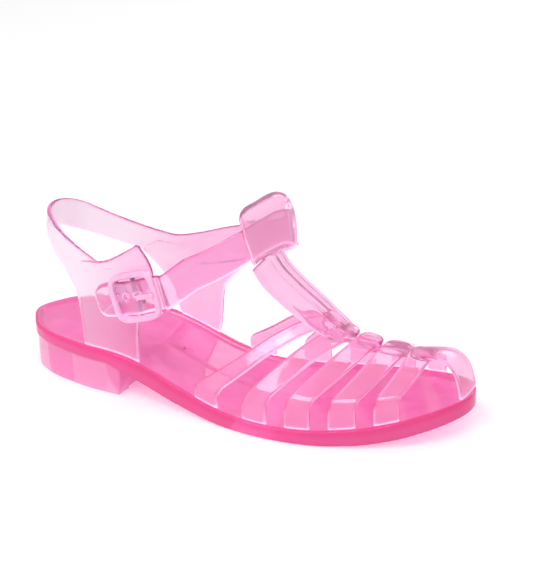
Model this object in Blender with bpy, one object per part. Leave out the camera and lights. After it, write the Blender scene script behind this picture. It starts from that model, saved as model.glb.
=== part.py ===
"""A clear moulded jelly sandal, right foot.

+X runs to the toe, +Y to the inner side of the foot and +Z up. The sole
stands on z = 0 and the middle of its outline is over the origin.
"""
import bpy
import bmesh
import math
import numpy as np
from mathutils import Matrix, Vector

# Sizes of the last and the sole
LENGTH = 0.250
BALL_WIDTH = 0.0824
HEEL_TOP = 0.0249
BALL_TOP = 0.0074
TOE_LIFT = 0.0122
TOE_SPRING = 0.0104
RIM_WIDTH = 0.0034
FOOTBED_DEPTH = 0.0018
HEEL_INSET = 0.0009
HEEL_TAPER = 0.0012
HEEL_LENGTH = 0.0712
BREAST_SKEW = 0.0050
HEEL_LEAN = math.radians(4)
EDGE_ROUND = 0.0008

# Sizes of the upper
WALL = 0.0022
EDGE_INSET = 0.0009
SEAT_GAP = 0.0003
VAMP_RISE = 0.0430
SIDE_WALL = 0.0140
RIDGE_SHIFT = 0.0030
RIDGE_TURN = 0.0065
STRAP_STEP = 0.0007
BRAID_LAP = 0.006
TOE_STRAP = 0.0180
CROWN = 0.0014
TBAR_WIDTH = 0.0310
TBAR_STAND = 0.0026
TBAR_SHIFT = 0.0080
TBAR_BOW = 0.0025
LOOP_WIDTH = 0.0350
LOOP_HEIGHT = 0.0290
LOOP_DEPTH = 0.0074
LOOP_RAISE = 0.0032
LOOP_LEAN = math.radians(14)
LOOP_SKEW = 0.0050
LOOP_ROUND = 0.0085
LOOP_CORNER = 0.0080
COLLAR_RISE = 0.0580
ANKLE_HALF = 0.0290
STRAP_WIDTH = 0.0180

# Sizes of the buckle
FRAME_LENGTH = 0.0300
FRAME_HEIGHT = 0.0265
FRAME_BAR = 0.0032
FRAME_DEPTH = 0.0052
FRAME_CORNER = 0.0065
PIN_WIDTH = 0.0024
PRONG_WIDTH = 0.0026
PRONG_THICK = 0.0016
HOLE_WIDTH = 0.0044
HOLE_PITCH = 0.0085
KEEPER_LENGTH = 0.0110
BUCKLE_STAND = 0.0021
FIT = 0.0003

# How far cutters and joined pieces run past the face they meet, and the
# smallest bit of a union that is kept
LAP = 0.0012
CUT_PAST = 0.0040
CRUMB = 0.0002

# Outline of the sole: along is a share of LENGTH, half and middle are
# shares of half the BALL_WIDTH.
OUTLINE_COLUMNS = ("along", "half", "middle")
OUTLINE = (
    (0.000, 0.000, 0.000),
    (0.015, 0.240, 0.002),
    (0.050, 0.500, 0.000),
    (0.120, 0.680, -0.012),
    (0.220, 0.756, -0.047),
    (0.320, 0.752, -0.088),
    (0.420, 0.768, -0.138),
    (0.520, 0.836, -0.166),
    (0.620, 0.944, -0.126),
    (0.720, 1.000, -0.024),
    (0.800, 0.950, 0.070),
    (0.880, 0.800, 0.138),
    (0.940, 0.590, 0.192),
    (0.980, 0.345, 0.225),
    (1.000, 0.000, 0.245),
)

# Side view of the sole: heel is a share of the fall from HEEL_TOP to
# BALL_TOP, toe of TOE_LIFT, spring of TOE_SPRING, and under the share of
# the local top height that is open below the slab.
PROFILE_COLUMNS = ("along", "heel", "toe", "spring", "under")
PROFILE = (
    (0.000, 0.98, 0.00, 0.00, 0.730),
    (0.120, 1.00, 0.00, 0.00, 0.730),
    (0.240, 0.99, 0.00, 0.00, 0.730),
    (0.290, 0.93, 0.00, 0.00, 0.600),
    (0.340, 0.78, 0.00, 0.00, 0.500),
    (0.440, 0.34, 0.00, 0.00, 0.270),
    (0.500, 0.14, 0.00, 0.00, 0.110),
    (0.550, 0.04, 0.00, 0.00, 0.000),
    (0.640, 0.00, 0.00, 0.00, 0.000),
    (0.740, 0.00, 0.07, 0.01, 0.000),
    (0.820, 0.00, 0.24, 0.12, 0.000),
    (0.900, 0.00, 0.54, 0.42, 0.000),
    (0.960, 0.00, 0.83, 0.76, 0.000),
    (1.000, 0.00, 1.00, 1.00, 0.000),
)

# Cross section of the cage from the rim (0) to the ridge (1): side is a
# share of its half width, wall of the side wall's height, crown of the
# rest of the height, and sweep is how far a strap has run forward.
CAGE_COLUMNS = ("turn", "side", "wall", "crown", "sweep")
CAGE = (
    (0.00, 1.000, 0.00, 0.00, 0.00),
    (0.12, 1.000, 0.40, 0.00, 0.00),
    (0.22, 0.990, 0.72, 0.01, 0.00),
    (0.31, 0.950, 0.93, 0.05, 0.03),
    (0.40, 0.880, 1.00, 0.13, 0.13),
    (0.54, 0.700, 1.00, 0.32, 0.34),
    (0.70, 0.460, 1.00, 0.58, 0.60),
    (0.86, 0.200, 1.00, 0.85, 0.85),
    (1.00, 0.000, 1.00, 1.00, 1.00),
)

# Ridge of the cage: up is a share of VAMP_RISE over the rim, and wall is
# the height of the side wall as a share of SIDE_WALL.
RIDGE_COLUMNS = ("along", "up", "wall")
RIDGE = (
    (0.460, 1.260, 0.45),
    (0.520, 1.240, 0.60),
    (0.600, 1.180, 0.80),
    (0.655, 1.060, 0.90),
    (0.700, 0.900, 0.98),
    (0.750, 0.755, 1.00),
    (0.800, 0.670, 0.98),
    (0.860, 0.595, 0.94),
    (0.930, 0.480, 0.80),
    (1.000, 0.200, 0.40),
)

# Cage straps, from the instep to the toe: both edges at the rim and at
# the ridge, as shares of LENGTH.
STRAP_COLUMNS = ("rim_rear", "rim_front", "top_rear", "top_front")
STRAPS = (
    (0.466, 0.525, 0.682, 0.712),
    (0.584, 0.641, 0.714, 0.753),
    (0.679, 0.733, 0.757, 0.806),
    (0.767, 0.821, 0.812, 0.868),
    (0.852, 0.898, 0.872, 0.922),
)

# Toe strap over the ridge's end: along in LENGTH, up a share of the
# ridge height at its start, wide of TOE_STRAP.
TOE_COLUMNS = ("along", "up", "wide")
TOE = (
    (0.740, 1.12, 0.42),
    (0.800, 1.04, 0.44),
    (0.860, 1.00, 0.55),
    (0.910, 0.97, 0.72),
    (0.945, 0.90, 0.86),
    (0.968, 0.74, 0.94),
    (0.982, 0.50, 1.00),
    (0.988, 0.25, 1.02),
    (0.9915, 0.00, 1.04),
)

# T-bar from its foot on the cage's ridge to its head in the loop's lower
# wall: run is a share of the way back, rise of the way up, wide of
# TBAR_WIDTH. Its foot lies at TBAR_FOOT of LENGTH.
TBAR_FOOT = 0.735
TBAR_COLUMNS = ("run", "rise", "wide")
TBAR = (
    (0.00, 0.000, 0.46),
    (0.20, 0.165, 0.68),
    (0.44, 0.360, 0.88),
    (0.69, 0.580, 0.96),
    (0.89, 0.800, 0.98),
    (1.00, 1.000, 0.98),
)

# Collar and ankle strap from the outer quarter round the heel, along the
# inner side, through the loop and down to the buckle: along is a share
# of LENGTH, out of ANKLE_HALF, up of COLLAR_RISE over the heel rim, wide
# of STRAP_WIDTH, and lean turns the face up, as a share of LOOP_LEAN.
COLLAR_COLUMNS = ("along", "out", "up", "wide", "lean")
COLLAR = (
    (0.322, -1.010, 0.915, 0.60, 0.43),
    (0.294, -1.010, 0.830, 0.76, 0.43),
    (0.264, -1.005, 0.770, 0.70, 0.43),
    (0.232, -0.990, 0.725, 0.70, 0.43),
    (0.200, -0.960, 0.748, 0.84, 0.43),
    (0.168, -0.910, 0.790, 0.94, 0.43),
    (0.136, -0.820, 0.862, 0.92, 0.43),
    (0.104, -0.660, 0.943, 0.82, 0.43),
    (0.072, -0.380, 1.003, 0.74, 0.43),
    (0.058, 0.000, 0.985, 0.80, 0.43),
    (0.064, 0.330, 0.935, 0.87, 0.43),
    (0.088, 0.610, 0.852, 0.92, 0.43),
    (0.136, 0.770, 0.770, 0.88, 0.43),
    (0.200, 0.840, 0.704, 0.84, 0.43),
    (0.250, 0.870, 0.660, 0.88, 0.43),
    (0.300, 0.880, 0.640, 0.92, 0.43),
    (0.360, 0.890, 0.690, 1.00, 0.43),
    (0.440, 0.890, 0.800, 1.08, 0.57),
    (0.515, 0.875, 0.900, 1.06, 0.71),
    (0.570, 0.770, 1.020, 1.00, 0.86),
    (0.589, 0.510, 1.140, 0.96, 1.00),
    (0.580, 0.250, 1.184, 0.94, 1.00),
    (0.568, 0.000, 1.169, 0.92, 1.00),
    (0.557, -0.270, 1.151, 0.90, 1.00),
    (0.545, -0.540, 1.118, 0.90, 1.00),
    (0.500, -0.830, 0.995, 0.94, 0.86),
    (0.454, -1.050, 0.895, 0.98, 0.71),
)

# The row of the collar that lies in the middle of the loop
LOOP_ROW = 22

# Outer quarter from the rim up: up is a share of COLLAR_RISE, rear and
# front are shares of LENGTH.
QUARTER_COLUMNS = ("up", "rear", "front")
OUTER_QUARTER = (
    (0.000, 0.192, 0.328),
    (0.240, 0.186, 0.328),
    (0.470, 0.176, 0.336),
    (0.590, 0.158, 0.348),
    (0.680, 0.146, 0.360),
    (0.770, 0.158, 0.366),
    (0.860, 0.236, 0.364),
    (0.960, 0.290, 0.352),
    (1.040, 0.318, 0.338),
    (1.070, 0.326, 0.334),
)
INNER_QUARTER = (
    (0.000, 0.300, 0.394),
    (0.180, 0.286, 0.404),
    (0.340, 0.262, 0.410),
    (0.430, 0.240, 0.424),
    (0.560, 0.210, 0.450),
    (0.680, 0.250, 0.460),
)

# End of the ankle strap past the loop, in the buckle's own directions:
# run is a share of FRAME_LENGTH behind (-) or before (+) its pin, out of
# the lift over the pin, wide of STRAP_WIDTH.
END_COLUMNS = ("run", "out", "wide")
STRAP_END = (
    (0.66, 0.10, 1.00),
    (0.52, 0.00, 1.00),
    (0.38, 0.00, 1.00),
    (0.26, 0.30, 1.00),
    (0.12, 0.85, 1.00),
    (0.00, 1.00, 1.00),
    (-0.12, 0.85, 1.00),
    (-0.26, 0.30, 1.00),
    (-0.38, 0.00, 1.00),
    (-0.54, 0.00, 1.00),
    (-0.66, 0.02, 0.97),
    (-0.78, 0.05, 0.90),
    (-0.87, 0.06, 0.66),
    (-0.90, 0.06, 0.36),
)

# The middle of the outline lies over the origin.
MIDDLE = Vector((LENGTH / 2, -0.0016, 0.0))


def columns(table):
    """Return the columns of a table as arrays."""
    return [np.array(c, float) for c in zip(*table)]


def curve(keys, values, at):
    """Smooth monotone curve through a table, read at any places."""
    keys = np.asarray(keys, float)
    values = np.asarray(values, float)
    at = np.clip(np.asarray(at, float), keys[0], keys[-1])
    step = np.diff(keys)
    slope = np.diff(values) / step
    tangent = np.zeros(len(keys))
    both = slope[1:] * slope[:-1] > 0
    near = 3 * (step[1:] + step[:-1])
    weight_a = 2 * step[1:] + step[:-1]
    weight_b = step[1:] + 2 * step[:-1]
    safe_a = np.where(both, slope[:-1], 1.0)
    safe_b = np.where(both, slope[1:], 1.0)
    mean = near / (weight_a / safe_a + weight_b / safe_b)
    tangent[1:-1] = np.where(both, mean, 0.0)
    tangent[0] = slope[0]
    tangent[-1] = slope[-1]
    i = np.clip(np.searchsorted(keys, at, side="right") - 1, 0, len(step) - 1)
    t = (at - keys[i]) / step[i]
    h = step[i]
    return ((1 + 2 * t) * (1 - t) ** 2 * values[i] + t * (1 - t) ** 2 * h * tangent[i]
            + t * t * (3 - 2 * t) * values[i + 1] + t * t * (t - 1) * h * tangent[i + 1])


def spline(points, count):
    """Points along a smooth curve through the rows of an array."""
    points = np.asarray(points, float)
    ends = (2 * points[:1] - points[1:2], points, 2 * points[-1:] - points[-2:-1])
    padded = np.vstack(ends)
    u = np.linspace(0, len(points) - 1, count)
    i = np.minimum(u.astype(int), len(points) - 2)
    t = (u - i)[:, None]
    a, b, c, d = (padded[i + k] for k in range(4))
    return 0.5 * (2 * b + (c - a) * t + (2 * a - 5 * b + 4 * c - d) * t ** 2
                  + (3 * b - a - 3 * c + d) * t ** 3)


def unit(v):
    """Scale vectors to length 1."""
    return v / np.maximum(np.linalg.norm(v, axis=-1, keepdims=True), 1e-12)


def half_width(s):
    """Half width of the sole at a share of its length, round at its ends."""
    along, half, _ = columns(OUTLINE)
    turn = np.arccos(1 - 2 * np.clip(s, 0, 1)) / math.pi
    return BALL_WIDTH / 2 * curve(np.arccos(1 - 2 * along) / math.pi, half, turn)


def middle(s):
    """Side place of the middle of the sole."""
    along, _, mid = columns(OUTLINE)
    return BALL_WIDTH / 2 * curve(along, mid, s)


def top(s):
    """Height of the sole's rim."""
    along, heel, toe, _, _ = columns(PROFILE)
    fall = (HEEL_TOP - BALL_TOP) * curve(along, heel, s)
    return BALL_TOP + fall + TOE_LIFT * curve(along, toe, s)


def under(s):
    """Height of the slab's underside."""
    along, _, _, spring, share = columns(PROFILE)
    return top(s) * curve(along, share, s) + TOE_SPRING * curve(along, spring, s)


def ridge_y(s):
    """Side place of the cage's ridge, which turns to the big toe."""
    return RIDGE_SHIFT + RIDGE_TURN * np.clip((s - 0.6) / 0.4, 0, 1)


def ridge_up(s):
    """Height of the cage's ridge over the rim."""
    along, up, _ = columns(RIDGE)
    return VAMP_RISE * curve(along, up, s)


def side_wall(s):
    """Height of the cage's upright side over the rim."""
    along, _, wall = columns(RIDGE)
    return SIDE_WALL * curve(along, wall, s)


def cage(s, turn, side):
    """Point of the cage's middle surface at a share of the length, a turn
    from rim (0) to ridge (1) and beyond, and a side (-1 outer, 1 inner)."""
    keys, share, wall, crown, _ = columns(CAGE)
    over = np.maximum(turn - 1, 0)
    turn = np.minimum(turn, 1)
    out = curve(keys, share, turn)
    half = half_width(s) - EDGE_INSET - WALL / 2
    y = middle(s) + side * half * out + (ridge_y(s) - middle(s)) * (1 - out)
    y = y - side * over * half
    side_up = side_wall(s)
    rise = side_up * curve(keys, wall, turn)
    rise += (ridge_up(s) - side_up) * (curve(keys, crown, turn) - 0.35 * over ** 2)
    z = top(s) + SEAT_GAP + rise
    return np.stack([s * LENGTH, y, z], -1)


def grid_normals(points):
    """Unit normals of a grid of points."""
    along = np.gradient(points, axis=0)
    across = np.gradient(points, axis=1)
    return unit(np.cross(along, across))


def sheet_mesh(name, points, thickness, normals=None):
    """Closed mesh of a grid of points thickened to both sides."""
    if normals is None:
        normals = grid_normals(points)
    rows, cols = points.shape[:2]
    a = points + normals * thickness / 2
    b = points - normals * thickness / 2
    verts = np.vstack([a.reshape(-1, 3), b.reshape(-1, 3)])
    size = rows * cols
    faces = []
    for i in range(rows - 1):
        for j in range(cols - 1):
            k = i * cols + j
            faces.append((k, k + cols, k + cols + 1, k + 1))
            faces.append((k + size, k + 1 + size, k + cols + 1 + size, k + cols + size))
    rim = [j for j in range(cols)]
    rim += [i * cols + cols - 1 for i in range(1, rows)]
    rim += [(rows - 1) * cols + j for j in range(cols - 2, -1, -1)]
    rim += [i * cols for i in range(rows - 2, 0, -1)]
    for p, q in zip(rim, rim[1:] + rim[:1]):
        faces.append((p, q, q + size, p + size))
    return closed_object(name, verts, faces)


def loft(name, loops):
    """Closed mesh through loops of points, all of one length."""
    count = len(loops[0])
    verts = np.vstack(loops)
    faces = []
    for i in range(len(loops) - 1):
        for j in range(count):
            k = (j + 1) % count
            faces.append((i * count + j, i * count + k,
                          (i + 1) * count + k, (i + 1) * count + j))
    faces.append(tuple(range(count - 1, -1, -1)))
    last = (len(loops) - 1) * count
    faces.append(tuple(last + j for j in range(count)))
    return closed_object(name, verts, faces)


def closed_object(name, verts, faces):
    """Link a mesh object, with its faces turned outward."""
    mesh = bpy.data.meshes.new(name)
    mesh.from_pydata([tuple(v) for v in verts], [], faces)
    bm = bmesh.new()
    bm.from_mesh(mesh)
    bmesh.ops.recalc_face_normals(bm, faces=bm.faces)
    bmesh.ops.triangulate(bm, faces=[f for f in bm.faces if len(f.verts) > 4])
    if bm.calc_volume(signed=True) < 0:
        bmesh.ops.reverse_faces(bm, faces=bm.faces)
    bm.to_mesh(mesh)
    bm.free()
    obj = bpy.data.objects.new(name, mesh)
    obj.location = -MIDDLE
    PARTS.objects.link(obj)
    return obj


def join(target, other, kind="UNION", solver="EXACT"):
    """Boolean one object into another and remove it."""
    mod = target.modifiers.new(kind.title(), "BOOLEAN")
    mod.operation = kind
    mod.object = other
    mod.solver = solver
    with bpy.context.temp_override(object=target, active_object=target):
        bpy.ops.object.modifier_apply(modifier=mod.name)
    bpy.data.objects.remove(other, do_unlink=True)
    return target


def fill_voids(obj):
    """Fill the closed hollows and clear the crumbs that the unions leave."""
    bm = bmesh.new()
    bm.from_mesh(obj.data)
    bm.normal_update()
    left = set(bm.verts)
    while left:
        shell = {left.pop()}
        edge = set(shell)
        while edge:
            edge = {e.other_vert(v) for v in edge for e in v.link_edges} - shell
            shell |= edge
        left -= shell
        faces = {f for v in shell for f in v.link_faces}
        if sum(f.calc_center_median().dot(f.normal) * f.calc_area() for f in faces) < CRUMB ** 3:
            bmesh.ops.delete(bm, geom=list(shell), context="VERTS")
    bmesh.ops.triangulate(bm, faces=bm.faces, ngon_method="EAR_CLIP")
    bm.to_mesh(obj.data)
    bm.free()


def paint(obj, colour, roughness, metallic=0.0):
    """Give the object its own Principled material."""
    mat = bpy.data.materials.new(obj.name + "_material")
    mat.use_nodes = True
    node = mat.node_tree.nodes["Principled BSDF"]
    node.inputs["Base Color"].default_value = (*colour, 1)
    node.inputs["Roughness"].default_value = roughness
    node.inputs["Metallic"].default_value = metallic
    mat.diffuse_color = (*colour, 1)
    obj.data.materials.clear()
    obj.data.materials.append(mat)


def stations(start, stop, count):
    """Shares of the length, closer together near round ends."""
    t = np.linspace(start, stop, count)
    return (1 - np.cos(math.pi * t)) / 2


def outline_loops(s, inset, low, high, chamfer=0.0):
    """Section loops of a piece that follows the sole's outline."""
    loops = []
    across = np.linspace(-1, 1, 5)
    for k, share in enumerate(s):
        half = max(float(half_width(share)) - inset, 0.0004)
        mid = float(middle(share))
        x = share * LENGTH
        cut = min(chamfer, half * 0.5)
        ring = [(x, mid + half * a, high[k]) for a in across]
        ring.append((x, mid + half, low[k] + cut))
        ring += [(x, mid + (half - cut) * a, low[k]) for a in across[::-1]]
        ring.append((x, mid - half, low[k] + cut))
        loops.append(np.array(ring))
    return loops


def make_sole():
    """Slab with its waist and toe spring, heel block and sunken footbed."""
    s = stations(0.012, 0.988, 40)
    slab = loft("sole", outline_loops(s, 0.0, under(s), top(s), EDGE_ROUND))
    s = stations(0.022, 0.42, 22)
    heel_top = under(s) + LAP
    low = np.zeros(len(s))
    block_loops = outline_loops(s, HEEL_INSET, low, heel_top, HEEL_TAPER)
    block = loft("heel_block", block_loops)
    breast = breast_cutter()
    join(block, breast, "DIFFERENCE")
    join(slab, block)
    inner = (RIM_WIDTH + CRUMB) / LENGTH
    s = inner + (1 - 2 * inner) * stations(0.03, 0.97, 34)
    bed = outline_loops(s, RIM_WIDTH, top(s) - FOOTBED_DEPTH, top(s) + CUT_PAST)
    join(slab, loft("footbed_cut", bed), "DIFFERENCE")
    return slab


def breast_cutter():
    """Block that trims the heel's front, set a little askew."""
    bpy.ops.mesh.primitive_cube_add(size=1)
    cutter = bpy.context.object
    cutter.scale = (LENGTH, BALL_WIDTH * 2, HEEL_TOP * 2)
    cutter.rotation_euler = (0, -HEEL_LEAN, -math.atan2(BREAST_SKEW, 2 * ANKLE_HALF))
    cutter.location = (HEEL_LENGTH + LENGTH / 2 - MIDDLE.x, -MIDDLE.y, HEEL_TOP / 5)
    return cutter


def strap_grid(row, side, rows=13, cols=3, lift=0.0):
    """Points of a cage strap from the rim over the ridge."""
    keys, _, _, _, sweep = columns(CAGE)
    rim_rear, rim_front, top_rear, top_front = row
    lap = BRAID_LAP / (BALL_WIDTH / 2)
    turn = np.concatenate([np.linspace(0, 1, rows - 1), [1 + lap]])
    run = curve(keys, sweep, turn)
    run[-1] = 1.0
    points = np.zeros((rows, cols, 3))
    for j, share in enumerate(np.linspace(0, 1, cols)):
        start = rim_rear + (rim_front - rim_rear) * share
        stop = top_rear + (top_front - top_rear) * share
        points[:, j] = cage(start + (stop - start) * run, turn, side)
    points[:, :, 2] += lift * np.clip(turn * 1.5 - 0.5, 0, 1)[:, None]
    return points


def toe_grid(rows=16, cols=5):
    """Points of the toe strap and the ridge behind it."""
    along, up, wide = columns(TOE)
    keys = np.linspace(0, 1, len(along))
    at = np.linspace(0, 1, rows)
    s = curve(keys, along, at)
    height = ridge_up(0.86) * curve(keys, up, at)
    half = TOE_STRAP / 2 * curve(keys, wide, at)
    points = np.zeros((rows, cols, 3))
    for j, share in enumerate(np.linspace(-1, 1, cols)):
        points[:, j, 0] = s * LENGTH - 0.0006 * share ** 2
        points[:, j, 1] = ridge_y(s) + half * share
        crown = CROWN * share ** 2 * np.clip(height / VAMP_RISE * 4, 0, 1)
        points[:, j, 2] = top(s) + SEAT_GAP + height - crown
    return points


def tbar_ends():
    """Foot of the T-bar on the ridge and its head in the loop's lower wall."""
    height = float(top(TBAR_FOOT) + SEAT_GAP + ridge_up(TBAR_FOOT)) + TBAR_STAND
    foot = np.array([TBAR_FOOT * LENGTH, float(ridge_y(TBAR_FOOT)), height])
    line, _, _, up = loop_line(np.zeros(1))
    head = line[0] - up[0] * (LOOP_HEIGHT - WALL) / 2
    head[1] = ridge_y(0.0) - TBAR_SHIFT
    return foot, head


def tbar_grid(rows=9, cols=5):
    """Points of the T-bar from the cage to the foot of the loop."""
    run, rise, wide = columns(TBAR)
    keys = np.linspace(0, 1, len(run))
    at = np.linspace(0, 1, rows)
    run = curve(keys, run, at)
    rise = curve(keys, rise, at)
    foot, head = tbar_ends()
    half = TBAR_WIDTH / 2 * curve(keys, wide, at)
    points = np.zeros((rows, cols, 3))
    for j, share in enumerate(np.linspace(-1, 1, cols)):
        points[:, j, 0] = foot[0] + (head[0] - foot[0]) * run - TBAR_BOW * 0.6 * share ** 2
        points[:, j, 1] = foot[1] + (head[1] - foot[1]) * run + half * share
        points[:, j, 2] = foot[2] + (head[2] - foot[2]) * rise - TBAR_BOW * share ** 2
    return points


def frame_of(points, lean):
    """Tangent, outward and across directions along a collar line."""
    tangent = unit(np.gradient(points, axis=0))
    flat = tangent.copy()
    flat[:, 2] = 0
    flat = unit(flat)
    out = np.stack([-flat[:, 1], flat[:, 0], np.zeros(len(flat))], -1)
    out = out * np.cos(lean)[:, None] + np.array([0, 0, 1.0]) * np.sin(lean)[:, None]
    across = unit(np.cross(out, tangent))
    across = across * np.where(across[:, 2:] < 0, -1.0, 1.0)
    out = unit(np.cross(tangent, across))
    return tangent, out, across


def collar_line():
    """Middle line, widths and leans of the collar and ankle strap."""
    along, out, up, wide, lean = columns(COLLAR)
    points = np.stack([along * LENGTH, out * ANKLE_HALF, HEEL_TOP + up * COLLAR_RISE], -1)
    return points, wide * STRAP_WIDTH, lean * LOOP_LEAN


def buckle_place():
    """Middle, run, out and up directions of the buckle on the quarter."""
    slope = math.radians(20)
    toe_in = math.radians(4)
    run = np.array([math.cos(slope) * math.cos(toe_in), -math.sin(toe_in), math.sin(slope)])
    run = unit(run)
    lean = math.radians(6)
    out = np.array([0.0, -math.cos(lean), math.sin(lean)])
    out = unit(out - run * np.dot(out, run))
    up = np.cross(out, run)
    if up[2] < 0:
        up = -up
    y = quarter_y(0.338, 0.63, -1) - WALL / 2 - BUCKLE_STAND - PIN_WIDTH / 2
    centre = np.array([0.338 * LENGTH, y, HEEL_TOP + 0.63 * COLLAR_RISE])
    return centre, run, out, up


def quarter_y(s, up, side):
    """Side place of the quarters, which lean in from the rim."""
    rim = middle(s) + side * (half_width(s) - EDGE_INSET - WALL / 2)
    high = side * ANKLE_HALF * (1.0 if side < 0 else 0.88)
    blend = np.clip(np.asarray(up, float), 0, 1) ** 0.8
    return rim + (high - rim) * blend


def quarter_grid(table, side, rows=13, cols=7):
    """Points of a quarter between its rear and front edges."""
    up, rear, front = columns(table)
    at = np.linspace(0, up[-1], rows)
    a = curve(up, rear, at)
    b = curve(up, front, at)
    points = np.zeros((rows, cols, 3))
    for j, share in enumerate(np.linspace(0, 1, cols)):
        s = a + (b - a) * share
        seat = top(s) + SEAT_GAP
        points[:, j, 0] = s * LENGTH
        points[:, j, 1] = quarter_y(s, at, side)
        points[:, j, 2] = seat + (HEEL_TOP + COLLAR_RISE * at - seat) * np.clip(at / 0.2, 0, 1)
    return points


def collar_grid(rows=64, cols=3):
    """Points of the collar, carried on into the strap's end."""
    points, width, lean = collar_line()
    line = spline(np.column_stack([points, width, lean]), rows)
    _, _, across = frame_of(line[:, :3], line[:, 4])
    centre, run, out, up = buckle_place()
    ahead, lift, wide = columns(STRAP_END)
    hump = PIN_WIDTH / 2 + FIT + WALL / 2
    reach = (hump * lift)[:, None] * out
    end = centre + ahead[:, None] * FRAME_LENGTH * run + reach
    end_width = STRAP_WIDTH * wide
    end_across = np.repeat(up[None], len(end), 0)
    middle_line = np.vstack([line[:, :3], end])
    widths = np.concatenate([line[:, 3], end_width])
    across = np.vstack([across, end_across])
    grid = np.zeros((len(middle_line), cols, 3))
    for j, share in enumerate(np.linspace(-0.5, 0.5, cols)):
        grid[:, j] = middle_line + across * (widths * share)[:, None]
    return grid


def loop_line(places):
    """Frames along the ankle strap at places before and past the loop's middle."""
    points, _, lean = collar_line()
    near = np.column_stack([points, lean])[LOOP_ROW - 4:LOOP_ROW + 5]
    fine = spline(near, 161)
    run, front, up = frame_of(fine[:, :3], fine[:, 3])
    steps = np.linalg.norm(np.diff(fine[:, :3], axis=0), axis=1)
    walked = np.concatenate([[0.0], np.cumsum(steps)])
    at = walked[80] + places
    rows = np.column_stack([fine[:, :3], run, front, up])
    rows = np.stack([np.interp(at, walked, column) for column in rows.T], -1)
    up = unit(rows[:, 9:])
    return rows[:, :3] + up * LOOP_RAISE, unit(rows[:, 3:6]), unit(rows[:, 6:9]), up


def make_loop():
    """Flat sleeve at the head of the T-bar, round the ankle strap."""
    outer = ring_outline(LOOP_DEPTH, LOOP_HEIGHT, LOOP_DEPTH * 0.45, 4)
    inner = ring_outline(LOOP_DEPTH - 2 * WALL, LOOP_HEIGHT - 2 * WALL, WALL * 0.6, 4)
    pieces = []
    for name, ring, length in (("loop", outer, LOOP_WIDTH), ("loop_bore", inner, LOOP_WIDTH * 1.3)):
        ends = np.array([0.0, 0.04, 0.13, 0.25, 0.42])
        share = np.concatenate([ends, 1 - ends[::-1]])
        places = (share - 0.5) * length
        line = loop_line(places)
        loops = []
        for place, point, run, front, up in zip(places, *line):
            at = place / LOOP_WIDTH + 0.5
            near = np.clip(1 - (LOOP_WIDTH / 2 - abs(place)) / LOOP_CORNER, 0, 1)
            drop = LOOP_CORNER * (1 - math.sqrt(1 - near ** 2))
            rows = []
            for a, b in ring:
                high = b / LOOP_HEIGHT + 0.5
                back = (1 - at) * LOOP_ROUND * high ** 2 - at * LOOP_SKEW * high
                low = b - drop * max(2 * b / LOOP_HEIGHT, 0.0)
                rows.append(point + front * a + up * low + run * back)
            loops.append(np.array(rows))
        pieces.append(loft(name, loops))
    return join(pieces[0], pieces[1], "DIFFERENCE")


def ring_outline(width, height, corner, steps):
    """Rounded rectangle round the middle."""
    points = []
    for q in range(4):
        cx = (width / 2 - corner) * (1 if q in (0, 3) else -1)
        cy = (height / 2 - corner) * (1 if q in (0, 1) else -1)
        for k in range(steps + 1):
            t = math.pi / 2 * (q + k / steps)
            points.append((cx + corner * math.cos(t), cy + corner * math.sin(t)))
    return points


def make_upper():
    """Cage, T-bar, loop, quarters, collar and ankle strap in one wall."""
    upper = sheet_mesh("upper", tbar_grid(), WALL)
    pieces = [sheet_mesh("toe_strap", toe_grid(), WALL)]
    for row in STRAPS:
        for side, lift in ((-1, STRAP_STEP), (1, -STRAP_STEP)):
            pieces.append(sheet_mesh("strap", strap_grid(row, side, lift=lift), WALL))
    pieces.append(make_loop())
    for table, side in ((OUTER_QUARTER, -1), (INNER_QUARTER, 1)):
        pieces.append(sheet_mesh("quarter", quarter_grid(table, side), WALL))
    pieces.append(sheet_mesh("collar", collar_grid(), WALL))
    pieces.append(make_keeper())
    for piece in pieces:
        join(upper, piece, solver="MANIFOLD")
    for count in (0, -1):
        hole = strap_hole(stem_run() + count * HOLE_PITCH)
        join(upper, hole, "DIFFERENCE", solver="MANIFOLD")
    fill_voids(upper)
    return upper


def make_keeper():
    """Saddle on the outer quarter that the buckle's pin sits in."""
    half = KEEPER_LENGTH / 2
    wide = PIN_WIDTH / 2
    shape = [(-wide, -half), (wide, -half), (wide, half), (-wide, half)]
    seat = -PIN_WIDTH / 2 - FIT
    return buckle_loft("keeper", shape, seat - BUCKLE_STAND - WALL * 0.4, seat)


def stem_run():
    """How far before the pin's middle the prong goes through the strap."""
    return PIN_WIDTH / 2 + FIT + PRONG_WIDTH * 0.4


def strap_hole(run_at):
    """Cutter for one hole of the ankle strap's end."""
    steps = 12
    radius = HOLE_WIDTH / 2
    shape = []
    for k in range(steps):
        t = 2 * math.pi * k / steps
        shape.append((run_at + radius * math.cos(t), radius * math.sin(t)))
    return buckle_loft("strap_hole", shape, 0.0, FRAME_DEPTH * 2)


def buckle_loft(name, outline, near, far):
    """Prism of an outline in the buckle's directions."""
    centre, run, out, up = buckle_place()
    loops = []
    for depth in (near, far):
        loops.append(np.array([centre + run * a + up * b + out * depth for a, b in outline]))
    return loft(name, loops)


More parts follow.
